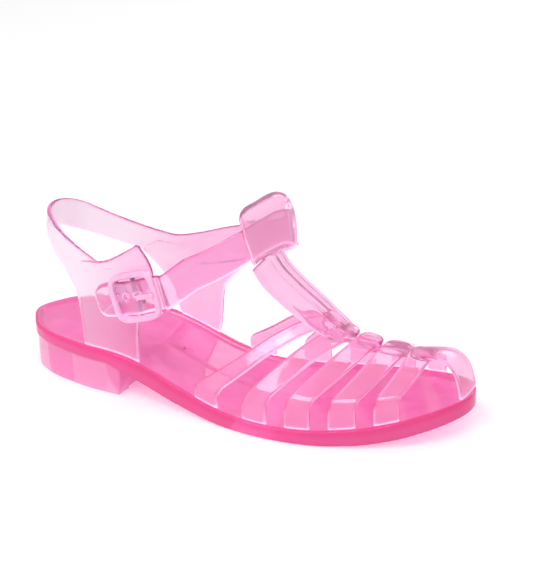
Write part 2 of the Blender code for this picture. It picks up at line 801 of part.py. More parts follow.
def make_buckle():
    """Moulded frame, its pin and the prong that rests on the frame."""
    bed = PIN_WIDTH / 2
    outer = ring_outline(FRAME_LENGTH, FRAME_HEIGHT, FRAME_CORNER, 5)
    inner = ring_outline(FRAME_LENGTH - 2 * FRAME_BAR, FRAME_HEIGHT - 2 * FRAME_BAR,
                         FRAME_CORNER - FRAME_BAR + 0.001, 5)
    far = FRAME_DEPTH - bed
    frame = buckle_loft("buckle_frame", outer, -bed, far)
    join(frame, buckle_loft("frame_hole", inner, -FRAME_DEPTH * 2, FRAME_DEPTH * 4), "DIFFERENCE")
    slot = STRAP_WIDTH + 4 * FIT
    path = [(-FRAME_LENGTH, -slot / 2), (FRAME_LENGTH, -slot / 2),
            (FRAME_LENGTH, slot / 2), (-FRAME_LENGTH, slot / 2)]
    roof = WALL / 2 + FIT
    join(frame, buckle_loft("frame_slot", path, -FRAME_DEPTH * 2, roof), "DIFFERENCE")
    centre, run, out, up = buckle_place()
    pin_length = FRAME_HEIGHT - 2 * FRAME_BAR - 2 * FIT
    bpy.ops.mesh.primitive_cylinder_add(vertices=16, radius=PIN_WIDTH / 2, depth=pin_length)
    pin = bpy.context.object
    pin.name = "buckle_pin"
    pin.matrix_world = Matrix.Translation(Vector(centre) - MIDDLE) @ basis(run, -out, up)
    move_to_parts(pin)
    near = stem_run() - PRONG_WIDTH * 0.4
    back = near + PRONG_WIDTH * 0.8
    tip = FRAME_LENGTH / 2 - FRAME_BAR * 0.2
    level = far + FIT
    shape = [(near, -PIN_WIDTH * 0.3), (back, -PIN_WIDTH * 0.3), (back, level), (tip - 0.0006, level),
             (tip, level + PRONG_THICK * 0.3), (tip, level + PRONG_THICK * 0.6),
             (tip - 0.0012, level + PRONG_THICK), (near + 0.0006, level + PRONG_THICK),
             (near, level + PRONG_THICK * 0.6)]
    loops = []
    for edge in (-PRONG_WIDTH / 2, PRONG_WIDTH / 2):
        loops.append(np.array([centre + run * a + out * d + up * edge for a, d in shape]))
    prong = loft("buckle_prong", loops)
    return frame, pin, prong


def basis(x, y, z):
    """Matrix with the given axes as columns."""
    return Matrix((x, y, z)).transposed().to_4x4()


def move_to_parts(obj):
    """Put an object made by an operator in the part's collection."""
    for collection in list(obj.users_collection):
        collection.objects.unlink(obj)
    PARTS.objects.link(obj)


for old in list(bpy.data.objects):
    bpy.data.objects.remove(old, do_unlink=True)

PARTS = bpy.data.collections.new("jelly_sandal")
bpy.context.scene.collection.children.link(PARTS)

SOLE = make_sole()
UPPER = make_upper()
FRAME, PIN, PRONG = make_buckle()

paint(SOLE, (0.87, 0.08, 0.33), 0.25)
paint(UPPER, (0.93, 0.28, 0.55), 0.20)
paint(FRAME, (0.94, 0.45, 0.70), 0.25)
paint(PIN, (0.62, 0.58, 0.66), 0.25, 1.0)
paint(PRONG, (0.90, 0.62, 0.80), 0.25)
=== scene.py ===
"""A clear moulded jelly sandal, right foot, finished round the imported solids.

+X runs to the toe, +Y to the inner side of the foot and +Z up, in metres.
The panel "Jelly Sandal" in the 3D view's sidebar builds each piece.
"""
import math

import bmesh
import bpy
import numpy as np
from bpy.props import FloatProperty, FloatVectorProperty, PointerProperty
from mathutils import Matrix, Vector


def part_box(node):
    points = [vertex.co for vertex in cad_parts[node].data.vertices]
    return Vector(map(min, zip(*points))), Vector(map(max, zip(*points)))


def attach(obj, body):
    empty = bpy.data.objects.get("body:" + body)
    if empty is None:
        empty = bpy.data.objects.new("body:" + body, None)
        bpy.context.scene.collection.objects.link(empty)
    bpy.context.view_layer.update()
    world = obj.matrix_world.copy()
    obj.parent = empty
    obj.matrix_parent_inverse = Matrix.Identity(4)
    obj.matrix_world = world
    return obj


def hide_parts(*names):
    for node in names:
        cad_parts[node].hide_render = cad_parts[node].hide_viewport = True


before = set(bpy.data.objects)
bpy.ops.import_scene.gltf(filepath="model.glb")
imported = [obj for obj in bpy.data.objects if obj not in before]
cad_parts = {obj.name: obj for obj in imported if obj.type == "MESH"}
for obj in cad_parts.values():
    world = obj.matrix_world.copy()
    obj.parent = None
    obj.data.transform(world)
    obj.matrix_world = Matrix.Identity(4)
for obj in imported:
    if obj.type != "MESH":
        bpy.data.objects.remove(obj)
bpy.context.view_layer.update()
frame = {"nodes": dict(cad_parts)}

bl_info = {
    "name": "Jelly Sandal",
    "version": (1, 0, 0),
    "blender": (4, 5, 0),
    "location": "View3D > Sidebar > Jelly Sandal",
    "description": "Builds the clear skins, buckle and studio of a moulded jelly sandal",
    "category": "Object",
}

SOLE_LOW, SOLE_HIGH = (np.array(corner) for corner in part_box("sole"))

# Outline of the sole: along is a share of its length, half and middle are
# shares of half the width at the ball.
OUTLINE_COLUMNS = ("along", "half", "middle")
OUTLINE = (
    (0.000, 0.000, 0.000),
    (0.015, 0.240, 0.002),
    (0.050, 0.500, 0.000),
    (0.120, 0.680, -0.012),
    (0.220, 0.756, -0.047),
    (0.320, 0.752, -0.088),
    (0.420, 0.768, -0.138),
    (0.520, 0.836, -0.166),
    (0.620, 0.944, -0.126),
    (0.720, 1.000, -0.024),
    (0.800, 0.950, 0.070),
    (0.880, 0.800, 0.138),
    (0.940, 0.590, 0.192),
    (0.980, 0.345, 0.225),
    (1.000, 0.000, 0.245),
)

# Side view of the sole: heel is a share of the fall from heel to ball, toe
# of the toe's lift, spring of the toe spring, and under the share of the
# local top height that is open below the slab.
PROFILE_COLUMNS = ("along", "heel", "toe", "spring", "under")
PROFILE = (
    (0.000, 0.98, 0.00, 0.00, 0.730),
    (0.120, 1.00, 0.00, 0.00, 0.730),
    (0.240, 0.99, 0.00, 0.00, 0.730),
    (0.290, 0.93, 0.00, 0.00, 0.600),
    (0.340, 0.78, 0.00, 0.00, 0.500),
    (0.440, 0.34, 0.00, 0.00, 0.270),
    (0.500, 0.14, 0.00, 0.00, 0.110),
    (0.550, 0.04, 0.00, 0.00, 0.000),
    (0.640, 0.00, 0.00, 0.00, 0.000),
    (0.740, 0.00, 0.07, 0.01, 0.000),
    (0.820, 0.00, 0.24, 0.12, 0.000),
    (0.900, 0.00, 0.54, 0.42, 0.000),
    (0.960, 0.00, 0.83, 0.76, 0.000),
    (1.000, 0.00, 1.00, 1.00, 0.000),
)

# Cross section of the sole's top from its outline inwards: inset in the
# rim's width and drop a share of the footbed's depth.
RIM_COLUMNS = ("inset", "drop")
RIM = (
    (0.00, 0.26),
    (0.05, 0.08),
    (0.16, 0.00),
    (0.55, 0.00),
    (0.78, 0.03),
    (0.90, 0.22),
    (1.00, 0.55),
    (1.14, 0.86),
    (1.40, 1.00),
    (2.00, 1.00),
)

# Cross section of the cage from the rim (0) to the ridge (1): side is a
# share of its half width, wall of the side wall's height, crown of the
# rest of the height, and sweep is how far a strap has run forward.
CAGE_COLUMNS = ("turn", "side", "wall", "crown", "sweep")
CAGE = (
    (0.00, 1.000, 0.00, 0.00, 0.00),
    (0.12, 1.000, 0.40, 0.00, 0.00),
    (0.22, 0.990, 0.72, 0.01, 0.00),
    (0.31, 0.950, 0.93, 0.05, 0.03),
    (0.40, 0.880, 1.00, 0.13, 0.13),
    (0.54, 0.700, 1.00, 0.32, 0.34),
    (0.70, 0.460, 1.00, 0.58, 0.60),
    (0.86, 0.200, 1.00, 0.85, 0.85),
    (1.00, 0.000, 1.00, 1.00, 1.00),
)

# Ridge of the cage: up is a share of the cage's rise over the rim, and
# wall the height of the side wall as a share of its tallest.
RIDGE_COLUMNS = ("along", "up", "wall")
RIDGE = (
    (0.460, 1.260, 0.45),
    (0.520, 1.240, 0.60),
    (0.600, 1.180, 0.80),
    (0.655, 1.060, 0.90),
    (0.700, 0.900, 0.98),
    (0.750, 0.755, 1.00),
    (0.800, 0.670, 0.98),
    (0.860, 0.595, 0.94),
    (0.930, 0.480, 0.80),
    (1.000, 0.200, 0.40),
)

# Cage straps, from the instep to the toe: both edges at the rim and at
# the ridge, as shares of the sole's length.
STRAP_COLUMNS = ("rim_rear", "rim_front", "top_rear", "top_front")
STRAPS = (
    (0.466, 0.525, 0.682, 0.712),
    (0.584, 0.641, 0.714, 0.753),
    (0.679, 0.733, 0.757, 0.806),
    (0.767, 0.821, 0.812, 0.868),
    (0.852, 0.898, 0.872, 0.922),
)

# Toe strap over the ridge's end: along in sole lengths, up a share of the
# ridge's height at the toe, wide of the strap's width.
TOE_COLUMNS = ("along", "up", "wide")
TOE = (
    (0.740, 1.12, 0.42),
    (0.800, 1.04, 0.44),
    (0.860, 1.00, 0.55),
    (0.910, 0.97, 0.72),
    (0.945, 0.90, 0.86),
    (0.968, 0.74, 0.94),
    (0.982, 0.50, 1.00),
    (0.988, 0.25, 1.02),
    (0.9915, 0.00, 1.04),
)

# T-bar from its foot on the cage's ridge to its head in the loop's lower
# wall: run is a share of the way back, rise of the way up, wide of the
# T-bar's width. Its foot lies at this share of the sole's length.
TBAR_FOOT = 0.735
TBAR_COLUMNS = ("run", "rise", "wide")
TBAR = (
    (0.00, 0.000, 0.62),
    (0.20, 0.140, 0.80),
    (0.44, 0.350, 0.92),
    (0.69, 0.580, 0.96),
    (0.89, 0.800, 0.98),
    (1.00, 1.000, 0.98),
)

# Ribs along the T-bar: at is a share of its half width, wide too, and
# high is a share of the wall.
RIB_COLUMNS = ("at", "wide", "high")
RIBS = (
    (-0.86, 0.13, 0.30),
    (-0.12, 0.12, 0.26),
    (0.30, 0.12, 0.26),
    (0.86, 0.13, 0.30),
)

# Collar and ankle strap from the outer quarter round the heel, along the
# inner side, through the loop and down to the buckle: along is a share of
# the sole's length, out of the ankle's half width, up of the collar's
# rise over the heel rim, wide of the strap's width, and lean turns the
# face up, as a share of the loop's lean.
COLLAR_COLUMNS = ("along", "out", "up", "wide", "lean")
COLLAR = (
    (0.322, -1.010, 0.915, 0.60, 0.43),
    (0.294, -1.010, 0.830, 0.76, 0.43),
    (0.264, -1.005, 0.770, 0.70, 0.43),
    (0.232, -0.990, 0.725, 0.70, 0.43),
    (0.200, -0.960, 0.748, 0.84, 0.43),
    (0.168, -0.910, 0.790, 0.94, 0.43),
    (0.136, -0.820, 0.862, 0.92, 0.43),
    (0.104, -0.660, 0.943, 0.82, 0.43),
    (0.072, -0.380, 1.003, 0.74, 0.43),
    (0.058, 0.000, 0.985, 0.80, 0.43),
    (0.064, 0.330, 0.935, 0.87, 0.43),
    (0.088, 0.610, 0.852, 0.92, 0.43),
    (0.136, 0.770, 0.770, 0.88, 0.43),
    (0.200, 0.840, 0.704, 0.84, 0.43),
    (0.250, 0.870, 0.660, 0.88, 0.43),
    (0.300, 0.880, 0.640, 0.92, 0.43),
    (0.360, 0.890, 0.690, 1.00, 0.43),
    (0.440, 0.890, 0.800, 1.08, 0.57),
    (0.515, 0.875, 0.900, 1.06, 0.71),
    (0.570, 0.770, 1.020, 1.00, 0.86),
    (0.589, 0.510, 1.140, 0.96, 1.00),
    (0.580, 0.250, 1.184, 0.94, 1.00),
    (0.568, 0.000, 1.169, 0.92, 1.00),
    (0.557, -0.270, 1.151, 0.90, 1.00),
    (0.545, -0.540, 1.118, 0.90, 1.00),
    (0.500, -0.830, 0.995, 0.94, 0.86),
    (0.454, -1.050, 0.895, 0.98, 0.71),
)

# Rows of the collar: in the middle of the heel, in the middle of the loop,
# and how many to each side of that are read for the loop's own line
HEEL_ROW = 9
LOOP_ROW = 22
LOOP_REACH = 4

# Quarters from the rim up: up is a share of the collar's rise, rear and
# front are shares of the sole's length.
QUARTER_COLUMNS = ("up", "rear", "front")
OUTER_QUARTER = (
    (0.000, 0.192, 0.328),
    (0.240, 0.186, 0.328),
    (0.470, 0.176, 0.336),
    (0.590, 0.158, 0.348),
    (0.680, 0.143, 0.360),
    (0.760, 0.130, 0.366),
    (0.790, 0.165, 0.366),
    (0.835, 0.225, 0.365),
    (0.880, 0.262, 0.362),
    (0.960, 0.290, 0.352),
    (1.040, 0.318, 0.338),
    (1.070, 0.326, 0.334),
)
INNER_QUARTER = (
    (0.000, 0.300, 0.394),
    (0.180, 0.286, 0.404),
    (0.340, 0.262, 0.410),
    (0.430, 0.240, 0.424),
    (0.560, 0.210, 0.450),
    (0.680, 0.250, 0.460),
)

# End of the ankle strap in the buckle's own directions: run is a share of
# the frame's length behind (-) or before (+) its pin, lift of the rise
# over the pin, wide of the strap's width.
END_COLUMNS = ("run", "lift", "wide")
STRAP_END = (
    (0.66, 0.10, 1.00),
    (0.52, 0.00, 1.00),
    (0.38, 0.00, 1.00),
    (0.26, 0.30, 1.00),
    (0.12, 0.85, 1.00),
    (0.00, 1.00, 1.00),
    (-0.12, 0.85, 1.00),
    (-0.26, 0.30, 1.00),
    (-0.38, 0.00, 1.00),
    (-0.54, 0.00, 1.00),
    (-0.66, 0.02, 0.97),
    (-0.78, 0.05, 0.90),
    (-0.87, 0.06, 0.66),
    (-0.90, 0.06, 0.36),
)

# Line of the prong out of the strap's hole: ahead is in metres and lift a
# share of the height at which the prong runs level. The last row's length
# is also how far the prong stays level before its tip.
PRONG_COLUMNS = ("ahead", "lift")
PRONG = (
    (0.0000, 0.35),
    (0.0002, 0.75),
    (0.0011, 0.98),
    (0.0030, 1.00),
)

# Points nearer than this are one point
MERGE = 1e-6

# Points along and across the grid of each surface
CAGE_GRID = (72, 21)
TOE_GRID = (80, 31)
TBAR_GRID = (90, 61)
QUARTER_GRID = (60, 45)
COLLAR_GRID = (260, 25)
END_ROWS = 110
LOOP_GRID = (61, 112)
LOOP_STEPS = 161
HOLE_POINTS = 40
FRAME_GRID = (160, 24)
PIN_GRID = (25, 32)
PRONG_GRID = (60, 24)

# How tightly the points of a grid are packed at a strap's long edges and
# at its ends, which are rounded
ACROSS_PACKING = 1.8
ALONG_PACKING = 1.35

# The cage's ridge turns to the big toe from this share of the length on,
# and the toe strap takes its height from the ridge at the second share
TURN_START = 0.60
TOE_SOURCE = 0.86

# Fall of a strap's round end past the ridge, as a share of the crown
LAP_FALL = 0.35

# Half width of the inner quarter's top as a share of the ankle's, and the
# power by which both quarters curve in from the rim
INNER_TOP = 0.88
QUARTER_CURL = 0.8

# Pin of the buckle, as shares of the sole's length and the collar's rise,
# with the slope of the strap's run, its turn outward and the face's lean
BUCKLE_ALONG = 0.338
BUCKLE_UP = 0.63
BUCKLE_SLOPE = math.radians(20)
BUCKLE_TURN = math.radians(4)
BUCKLE_LEAN = math.radians(6)

# The prong goes up through its hole this share of its width past the pin
PRONG_SHIFT = 0.4

# Ends of the buckle's pin: height of the dome, the sine at which it
# starts, and the sine from which its radius falls
PIN_DOME = 0.0006
PIN_SHOULDER = 0.5
PIN_CROWN = 0.9

# Past the strap the frame's back drops to its bed, from this far before
# the end of the strap's slot to this far after it
BED_BEFORE = 0.0004
BED_AFTER = 0.0006

# Points round the sole's outline, and its slab's lower corner
OUTLINE_POINTS = 440
SLAB_CORNER = 0.0008

# Heel block: how far it reaches into the slab, the lean of its breast, the
# share of its foot's rounding that the breast gets, the width over which
# its skew is given, and where its middle is read
HEEL_SINK = 0.0012
BREAST_LEAN = math.radians(4)
BREAST_ROUND = 0.5
HEEL_WIDTH = 0.058
HEEL_MIDDLE = 0.29

# Each fused skin is relaxed this often and thinned to so many triangles
RELAX = 4
SOLE_LIMIT = 190000
UPPER_LIMIT = 195000

# Bend per metre at which a round edge starts to take its painted shade and highlight and takes them in
# full, and how often it is spread to the points beside it
EDGE_BEND = (150, 500)
EDGE_SPREAD = 2

# Where one colour takes over from another: axis, start and stop
LOOP_FADE = (2, 0.078, 0.088)
COLLAR_FADE = (0, -0.035, -0.085)

# Clear plastic: roughness, depth of the mould's ripple, how much of the
# skin's colour its paler clouds keep, cells per metre of the light and shade
# painted as upright facets on the heel block, and the darkest painted
# facets' shares of the block's colour
JELLY_ROUGHNESS = 0.06
JELLY_RIPPLE = 0.0004
JELLY_PALE = 0.93
PAINTED_FACET_CELLS = (62.0, 62.0, 9.0)
PAINTED_FACET_SHADE = (0.98, 0.62, 0.82)

# Opaque plastic of the buckle: roughness of the frame and of the prong,
# depth of the ripple, and how deep the darkest clouds are
FRAME_ROUGHNESS = 0.22
PRONG_ROUGHNESS = 0.20
PLASTIC_RIPPLE = 0.0003
PLASTIC_DEEP = 0.88

# Grain of the pin's steel
STEEL_RIPPLE = 0.0002

# Half the floor's side, and the point that the lamps face
FLOOR_HALF = 4.0
LAMP_AIM = (0.0, 0.0, 0.03)

# Lamps: name, place, width, height and power in watts
LAMP_COLUMNS = ("name", "place", "wide", "high", "power")
LAMPS = (
    ("key", (-0.14, -0.56, 1.03), 1.0, 0.34, 7.8),
    ("fill", (0.85, -0.55, 0.75), 0.35, 0.35, 1.6),
    ("rim", (0.1, 0.95, 0.8), 0.8, 0.4, 2.5),
)


def length(name, text, default):
    """A size in metres for the panel."""
    return FloatProperty(name=name, description=text, default=default, unit="LENGTH",
                         subtype="DISTANCE", precision=5)


def colour(name, text, default):
    """A colour for the panel."""
    return FloatVectorProperty(name=name, description=text, default=default, subtype="COLOR",
                               size=3, min=0.0, max=1.0)


class SoleSizes(bpy.types.PropertyGroup):
    """Sizes of the sole."""
    long: length("Length", "Heel to toe", 0.250)
    ball: length("Ball width", "Widest place of the forefoot", 0.0824)
    heel_top: length("Heel top", "Height of the rim at the heel", 0.0249)
    ball_top: length("Ball top", "Height of the rim at the ball", 0.0074)
    toe_lift: length("Toe lift", "Rise of the rim from ball to toe", 0.0122)
    toe_spring: length("Toe spring", "Height of the toe's underside", 0.0104)
    rim: length("Rim width", "Lip round the footbed", 0.0034)
    footbed: length("Footbed depth", "How far the footbed lies below the rim", 0.0018)
    heel_inset: length("Heel inset", "How far the heel block stands in from the slab", 0.0009)
    heel_taper: length("Heel taper", "Rounding at the heel block's foot", 0.0012)
    heel: length("Heel length", "Back to the heel's breast", 0.0712)
    skew: length("Breast skew", "How much longer the heel is on its inner side", 0.0050)
    grain: length("Skin detail", "Size of the cells that fuse the sole", 0.00072)


class UpperSizes(bpy.types.PropertyGroup):
    """Sizes of the cage, T-bar, collar and ankle strap."""
    wall: length("Wall", "Thickness of the straps", 0.0022)
    inset: length("Edge inset", "Straps stand in from the sole's edge", 0.0009)
    seat: length("Seat gap", "Straps stand over the rim", 0.0003)
    rise: length("Cage rise", "Height of the ridge over the rim at its tallest", 0.0430)
    side: length("Side wall", "Upright part of the cage straps", 0.0140)
    shift: length("Ridge shift", "Ridge to the inner side at the instep", 0.0030)
    turn: length("Ridge turn", "Further shift of the ridge at the toe", 0.0065)
    step: length("Strap step", "Outer straps ride over the inner ones", 0.0008)
    lap: length("Strap lap", "How far a strap's round end passes the ridge", 0.0075)
    toe: length("Toe strap", "Width of the strap over the toe", 0.0180)
    crown: length("Toe crown", "How far the toe strap's edges drop", 0.0014)
    tbar: length("T-bar width", "Widest place of the T-bar", 0.0310)
    tbar_stand: length("T-bar stand", "Foot of the T-bar over the ridge", 0.0006)
    tbar_shift: length("T-bar shift", "Head of the T-bar to the outer side", 0.0080)
    tbar_bow: length("T-bar bow", "Edges of the T-bar below its middle", 0.0025)
    loop: length("Loop length", "Along the ankle strap", 0.0350)
    loop_high: length("Loop height", "Outside, across the strap", 0.0290)
    loop_deep: length("Loop depth", "Outside, front to back", 0.0074)
    loop_raise: length("Loop raise", "Middle of the loop over the strap's middle", 0.0032)
    loop_lean: FloatProperty(name="Loop lean", description="Loop and strap face upward",
                             default=math.radians(14), subtype="ANGLE")
    loop_skew: length("Loop skew", "Outer end's top cut back", 0.0050)
    loop_round: length("Loop round", "Inner end's top cut back", 0.0085)
    loop_corner: length("Loop corner", "Radius of the loop's upper corners", 0.0080)
    collar: length("Collar rise", "Height of the collar over the heel rim", 0.0580)
    ankle: length("Ankle half", "Half the width inside the collar", 0.0290)
    strap: length("Strap width", "Width of the ankle strap", 0.0180)
    grain: length("Skin detail", "Size of the cells that fuse the straps", 0.0005)


class BuckleSizes(bpy.types.PropertyGroup):
    """Sizes of the buckle."""
    long: length("Frame length", "Along the strap", 0.0300)
    high: length("Frame height", "Across the strap", 0.0265)
    bar: length("Frame bar", "Width of the frame's bars", 0.0032)
    deep: length("Frame depth", "Front to back", 0.0052)
    corner: length("Frame corner", "Outer radius of the corners", 0.0065)
    pin: length("Pin width", "Diameter of the pin", 0.0024)
    prong: length("Prong width", "Across the prong", 0.0026)
    thick: length("Prong thickness", "Front to back", 0.0016)
    hole: length("Hole width", "Holes of the ankle strap", 0.0044)
    pitch: length("Hole pitch", "Hole to hole", 0.0085)
    keeper: length("Keeper length", "Saddle under the pin", 0.0110)
    stand: length("Buckle stand", "Pin over the quarter", 0.0021)
    fit: length("Fit", "Clearance between pieces", 0.0003)


class JellyLook(bpy.types.PropertyGroup):
    """Colours of the clear plastic and the buckle."""
    tint: colour("Tint", "Colour that the clear plastic passes", (0.93, 0.20, 0.69))
    sole_skin: colour("Sole skin", "Colour of the sole's milky surface", (0.81, 0.20, 0.49))
    sole_band: colour("Sole band", "Colour of the slab's edge", (0.85, 0.07, 0.30))
    heel_skin: colour("Heel skin", "Colour of the heel block's sides", (0.88, 0.48, 0.69))
    sole_clear: FloatProperty(name="Sole clearness", description="Share of light let through",
                              default=0.45, min=0.0, max=1.0)
    sole_density: FloatProperty(name="Sole density", description="Tint over depth, per metre",
                                default=30.0, min=0.0)
    strap_skin: colour("Strap skin", "Colour of the straps' milky surface", (0.94, 0.63, 0.81))
    collar_skin: colour("Collar skin", "Colour of the quarters' milky surface", (0.92, 0.56, 0.77))
    collar_density: FloatProperty(name="Collar density", description="Tint over depth, per metre",
                                  default=30.0, min=0.0)
    # Painted shade: a deeper pink on the straps' round edges, for the darker look their thickness
    # gives them
    painted_edge_shade: colour("Strap edge", "Colour of the straps' round edges", (0.90, 0.20, 0.52))
    strap_clear: FloatProperty(name="Strap clearness", description="Share of light let through",
                               default=0.84, min=0.0, max=1.0)
    strap_density: FloatProperty(name="Strap density", description="Tint over depth, per metre",
                                 default=90.0, min=0.0)
    loop_skin: colour("Loop skin", "Colour of the loop's milky surface", (1.0, 0.85, 0.94))
    strap_rear: colour("Strap rear", "Colour of the collar behind the heel", (0.88, 0.78, 0.86))
    # Painted highlight: the straps' downward round edges give off light of this colour and strength,
    # standing in for light they catch
    painted_edge_highlight: colour("Gleam", "Light that the straps' lower edges gather", (1.0, 0.80, 0.92))
    painted_highlight_glow: FloatProperty(name="Gleam strength", description="How bright those edges are",
                        default=0.58, min=0.0)
    film: colour("Film", "Colour of the light that passes on to the floor", (0.88, 0.86, 0.87))
    frame: colour("Frame", "Colour of the buckle's frame", (0.88, 0.43, 0.68))
    steel: colour("Pin", "Colour of the buckle's pin", (0.62, 0.58, 0.66))
    index: FloatProperty(name="Index", description="Index of refraction", default=1.42, min=1.0)


class StageLook(bpy.types.PropertyGroup):
    """Camera, light and floor."""
    azimuth: FloatProperty(name="Azimuth", description="Camera turned from the outer side",
                           default=0.487951, subtype="ANGLE")
    elevation: FloatProperty(name="Elevation", description="Camera over the floor",
                             default=0.435445, subtype="ANGLE")
    roll: FloatProperty(name="Roll", description="Camera turned about its own axis",
                        default=-0.031712, subtype="ANGLE")
    distance: length("Distance", "Camera to its target", 1.2)
    target: FloatVectorProperty(name="Target", description="Point the camera looks at",
                                default=(0.00949, 0.02562, 0.0468), subtype="TRANSLATION", size=3)
    lens: FloatProperty(name="Focal length", description="In millimetres on a 36 mm sensor",
                        default=148.57, min=1.0)
    floor: colour("Floor", "Colour of the floor", (0.92, 0.92, 0.92))
    sky: FloatProperty(name="Sky", description="Strength of the room's light", default=0.70, min=0.0)


def sizes():
    """The sizes of sole, upper and buckle that the panel holds."""
    scene = bpy.context.scene
    return scene.sandal_sole, scene.sandal_upper, scene.sandal_buckle


def columns(table):
    """Return the columns of a table as arrays."""
    return [np.array(c, float) for c in zip(*table)]


def curve(keys, values, at):
    """Smooth monotone curve through a table, read at any places.

    Hermite cubics whose slopes are harmonic means of the chords beside them.
    """
    keys = np.asarray(keys, float)
    values = np.asarray(values, float)
    at = np.clip(np.asarray(at, float), keys[0], keys[-1])
    step = np.diff(keys)
    slope = np.diff(values) / step
    both = slope[1:] * slope[:-1] > 0
    near = 3 * (step[1:] + step[:-1])
    weight_a = 2 * step[1:] + step[:-1]
    weight_b = step[1:] + 2 * step[:-1]
    mean = near / (weight_a / np.where(both, slope[:-1], 1.0)
                   + weight_b / np.where(both, slope[1:], 1.0))
    tangent = np.concatenate([slope[:1], np.where(both, mean, 0.0), slope[-1:]])
    i = np.clip(np.searchsorted(keys, at, side="right") - 1, 0, len(step) - 1)
    t = (at - keys[i]) / step[i]
    h = step[i]
    return ((1 + 2 * t) * (1 - t) ** 2 * values[i] + t * (1 - t) ** 2 * h * tangent[i]
            + t * t * (3 - 2 * t) * values[i + 1] + t * t * (t - 1) * h * tangent[i + 1])


def spline(points, count):
    """Points along a smooth curve through the rows of an array.

    Catmull-Rom: each span's cubic leaves a row along the chord of its two
    neighbours.
    """
    points = np.asarray(points, float)
    padded = np.vstack((2 * points[:1] - points[1:2], points, 2 * points[-1:] - points[-2:-1]))
    u = np.linspace(0, len(points) - 1, count)
    i = np.minimum(u.astype(int), len(points) - 2)
    t = (u - i)[:, None]
    a, b, c, d = (padded[i + k] for k in range(4))
    return 0.5 * (2 * b + (c - a) * t + (2 * a - 5 * b + 4 * c - d) * t ** 2
                  + (3 * b - a - 3 * c + d) * t ** 3)


def unit(v):
    """Scale vectors to length 1."""
    return v / np.maximum(np.linalg.norm(v, axis=-1, keepdims=True), 1e-12)


def smooth(low, high, at):
    """0 below low and 1 above high, by 3t^2 - 2t^3 between."""
    t = np.clip((np.asarray(at, float) - low) / (high - low), 0, 1)
    return t * t * (3 - 2 * t)


def half_width(s):
    """Half width of the sole at a share of its length, round at its ends."""
    sole, _, _ = sizes()
    along, half, _ = columns(OUTLINE)
    turn = np.arccos(1 - 2 * np.clip(s, 0, 1)) / math.pi
    return sole.ball / 2 * curve(np.arccos(1 - 2 * along) / math.pi, half, turn)


def middle(s):
    """Side place of the middle of the sole."""
    sole, _, _ = sizes()
    along, _, mid = columns(OUTLINE)
    return sole.ball / 2 * curve(along, mid, s)


def top(s):
    """Height of the sole's rim."""
    sole, _, _ = sizes()
    along, heel, toe, _, _ = columns(PROFILE)
    fall = (sole.heel_top - sole.ball_top) * curve(along, heel, s)
    return sole.ball_top + fall + sole.toe_lift * curve(along, toe, s)


def under(s):
    """Height of the slab's underside."""
    sole, _, _ = sizes()
    along, _, _, spring, share = columns(PROFILE)
    return top(s) * curve(along, share, s) + sole.toe_spring * curve(along, spring, s)


def centred(points):
    """Move points from the sole's own places to the row's frame."""
    sole, _, _ = sizes()
    s = np.linspace(0, 1, 801)
    side = (np.max(middle(s) + half_width(s)) + np.min(middle(s) - half_width(s))) / 2
    shift = np.array([sole.long / 2, side, 0.0])
    origin = np.array([*(SOLE_LOW + SOLE_HIGH)[:2] / 2, 0.0])
    return points - shift + origin


def ridge_y(s):
    """Side place of the cage's ridge, which turns to the big toe."""
    _, upper, _ = sizes()
    return upper.shift + upper.turn * np.clip((s - TURN_START) / (1 - TURN_START), 0, 1)


def ridge_up(s):
    """Height of the cage's ridge over the rim."""
    _, upper, _ = sizes()
    along, up, _ = columns(RIDGE)
    return upper.rise * curve(along, up, s)


def side_wall(s):
    """Height of the cage's upright side over the rim."""
    _, upper, _ = sizes()
    along, _, wall = columns(RIDGE)
    return upper.side * curve(along, wall, s)


def cage(s, turn, side):
    """Point of the cage's middle surface.

    s is the share of the length, turn runs from the rim (0) to the ridge (1)
    and past it, and side is -1 outside and 1 inside. The half width shrinks
    by the section's side column, and the height is the upright wall and then
    the crown up to the ridge.
    """
    sole, upper, _ = sizes()
    keys, share, wall, crown, _ = columns(CAGE)
    over = np.maximum(turn - 1, 0)
    turn = np.minimum(turn, 1)
    out = curve(keys, share, turn)
    half = half_width(s) - upper.inset - upper.wall / 2
    y = middle(s) + side * half * out + (ridge_y(s) - middle(s)) * (1 - out)
    y = y - side * over * half
    side_up = side_wall(s)
    rise = side_up * curve(keys, wall, turn)
    rise = rise + (ridge_up(s) - side_up) * (curve(keys, crown, turn) - LAP_FALL * over ** 2)
    return np.stack([s * sole.long, y, top(s) + upper.seat + rise], -1)


def grid_normals(points):
    """Unit normals of a grid of points, from its two rows of differences."""
    return unit(np.cross(np.gradient(points, axis=0), np.gradient(points, axis=1)))


def mesh_object(name, points, faces):
    """Link a closed mesh of points and faces, doubles merged, faces outward."""
    mesh = bpy.data.meshes.new(name)
    mesh.from_pydata(centred(points).tolist(), [], faces)
    bm = bmesh.new()
    bm.from_mesh(mesh)
    bmesh.ops.remove_doubles(bm, verts=bm.verts, dist=MERGE)
    bmesh.ops.dissolve_degenerate(bm, edges=bm.edges, dist=MERGE)
    bmesh.ops.recalc_face_normals(bm, faces=bm.faces)
    if bm.calc_volume(signed=True) < 0:
        bmesh.ops.reverse_faces(bm, faces=bm.faces)
    bm.to_mesh(mesh)
    bm.free()
    obj = bpy.data.objects.new(name, mesh)
    bpy.context.scene.collection.objects.link(obj)
    return obj


def quads(rows, cols, wrap=False, start=0):
    """Faces of a grid of points, its columns closed to a ring if wrapped."""
    i, j = np.meshgrid(np.arange(rows - 1), np.arange(cols if wrap else cols - 1), indexing="ij")
    k = (j + 1) % cols
    a = start + i * cols
    ring = np.stack([a + j, a + cols + j, a + cols + k, a + k], -1)
    return ring.reshape(-1, 4).tolist()


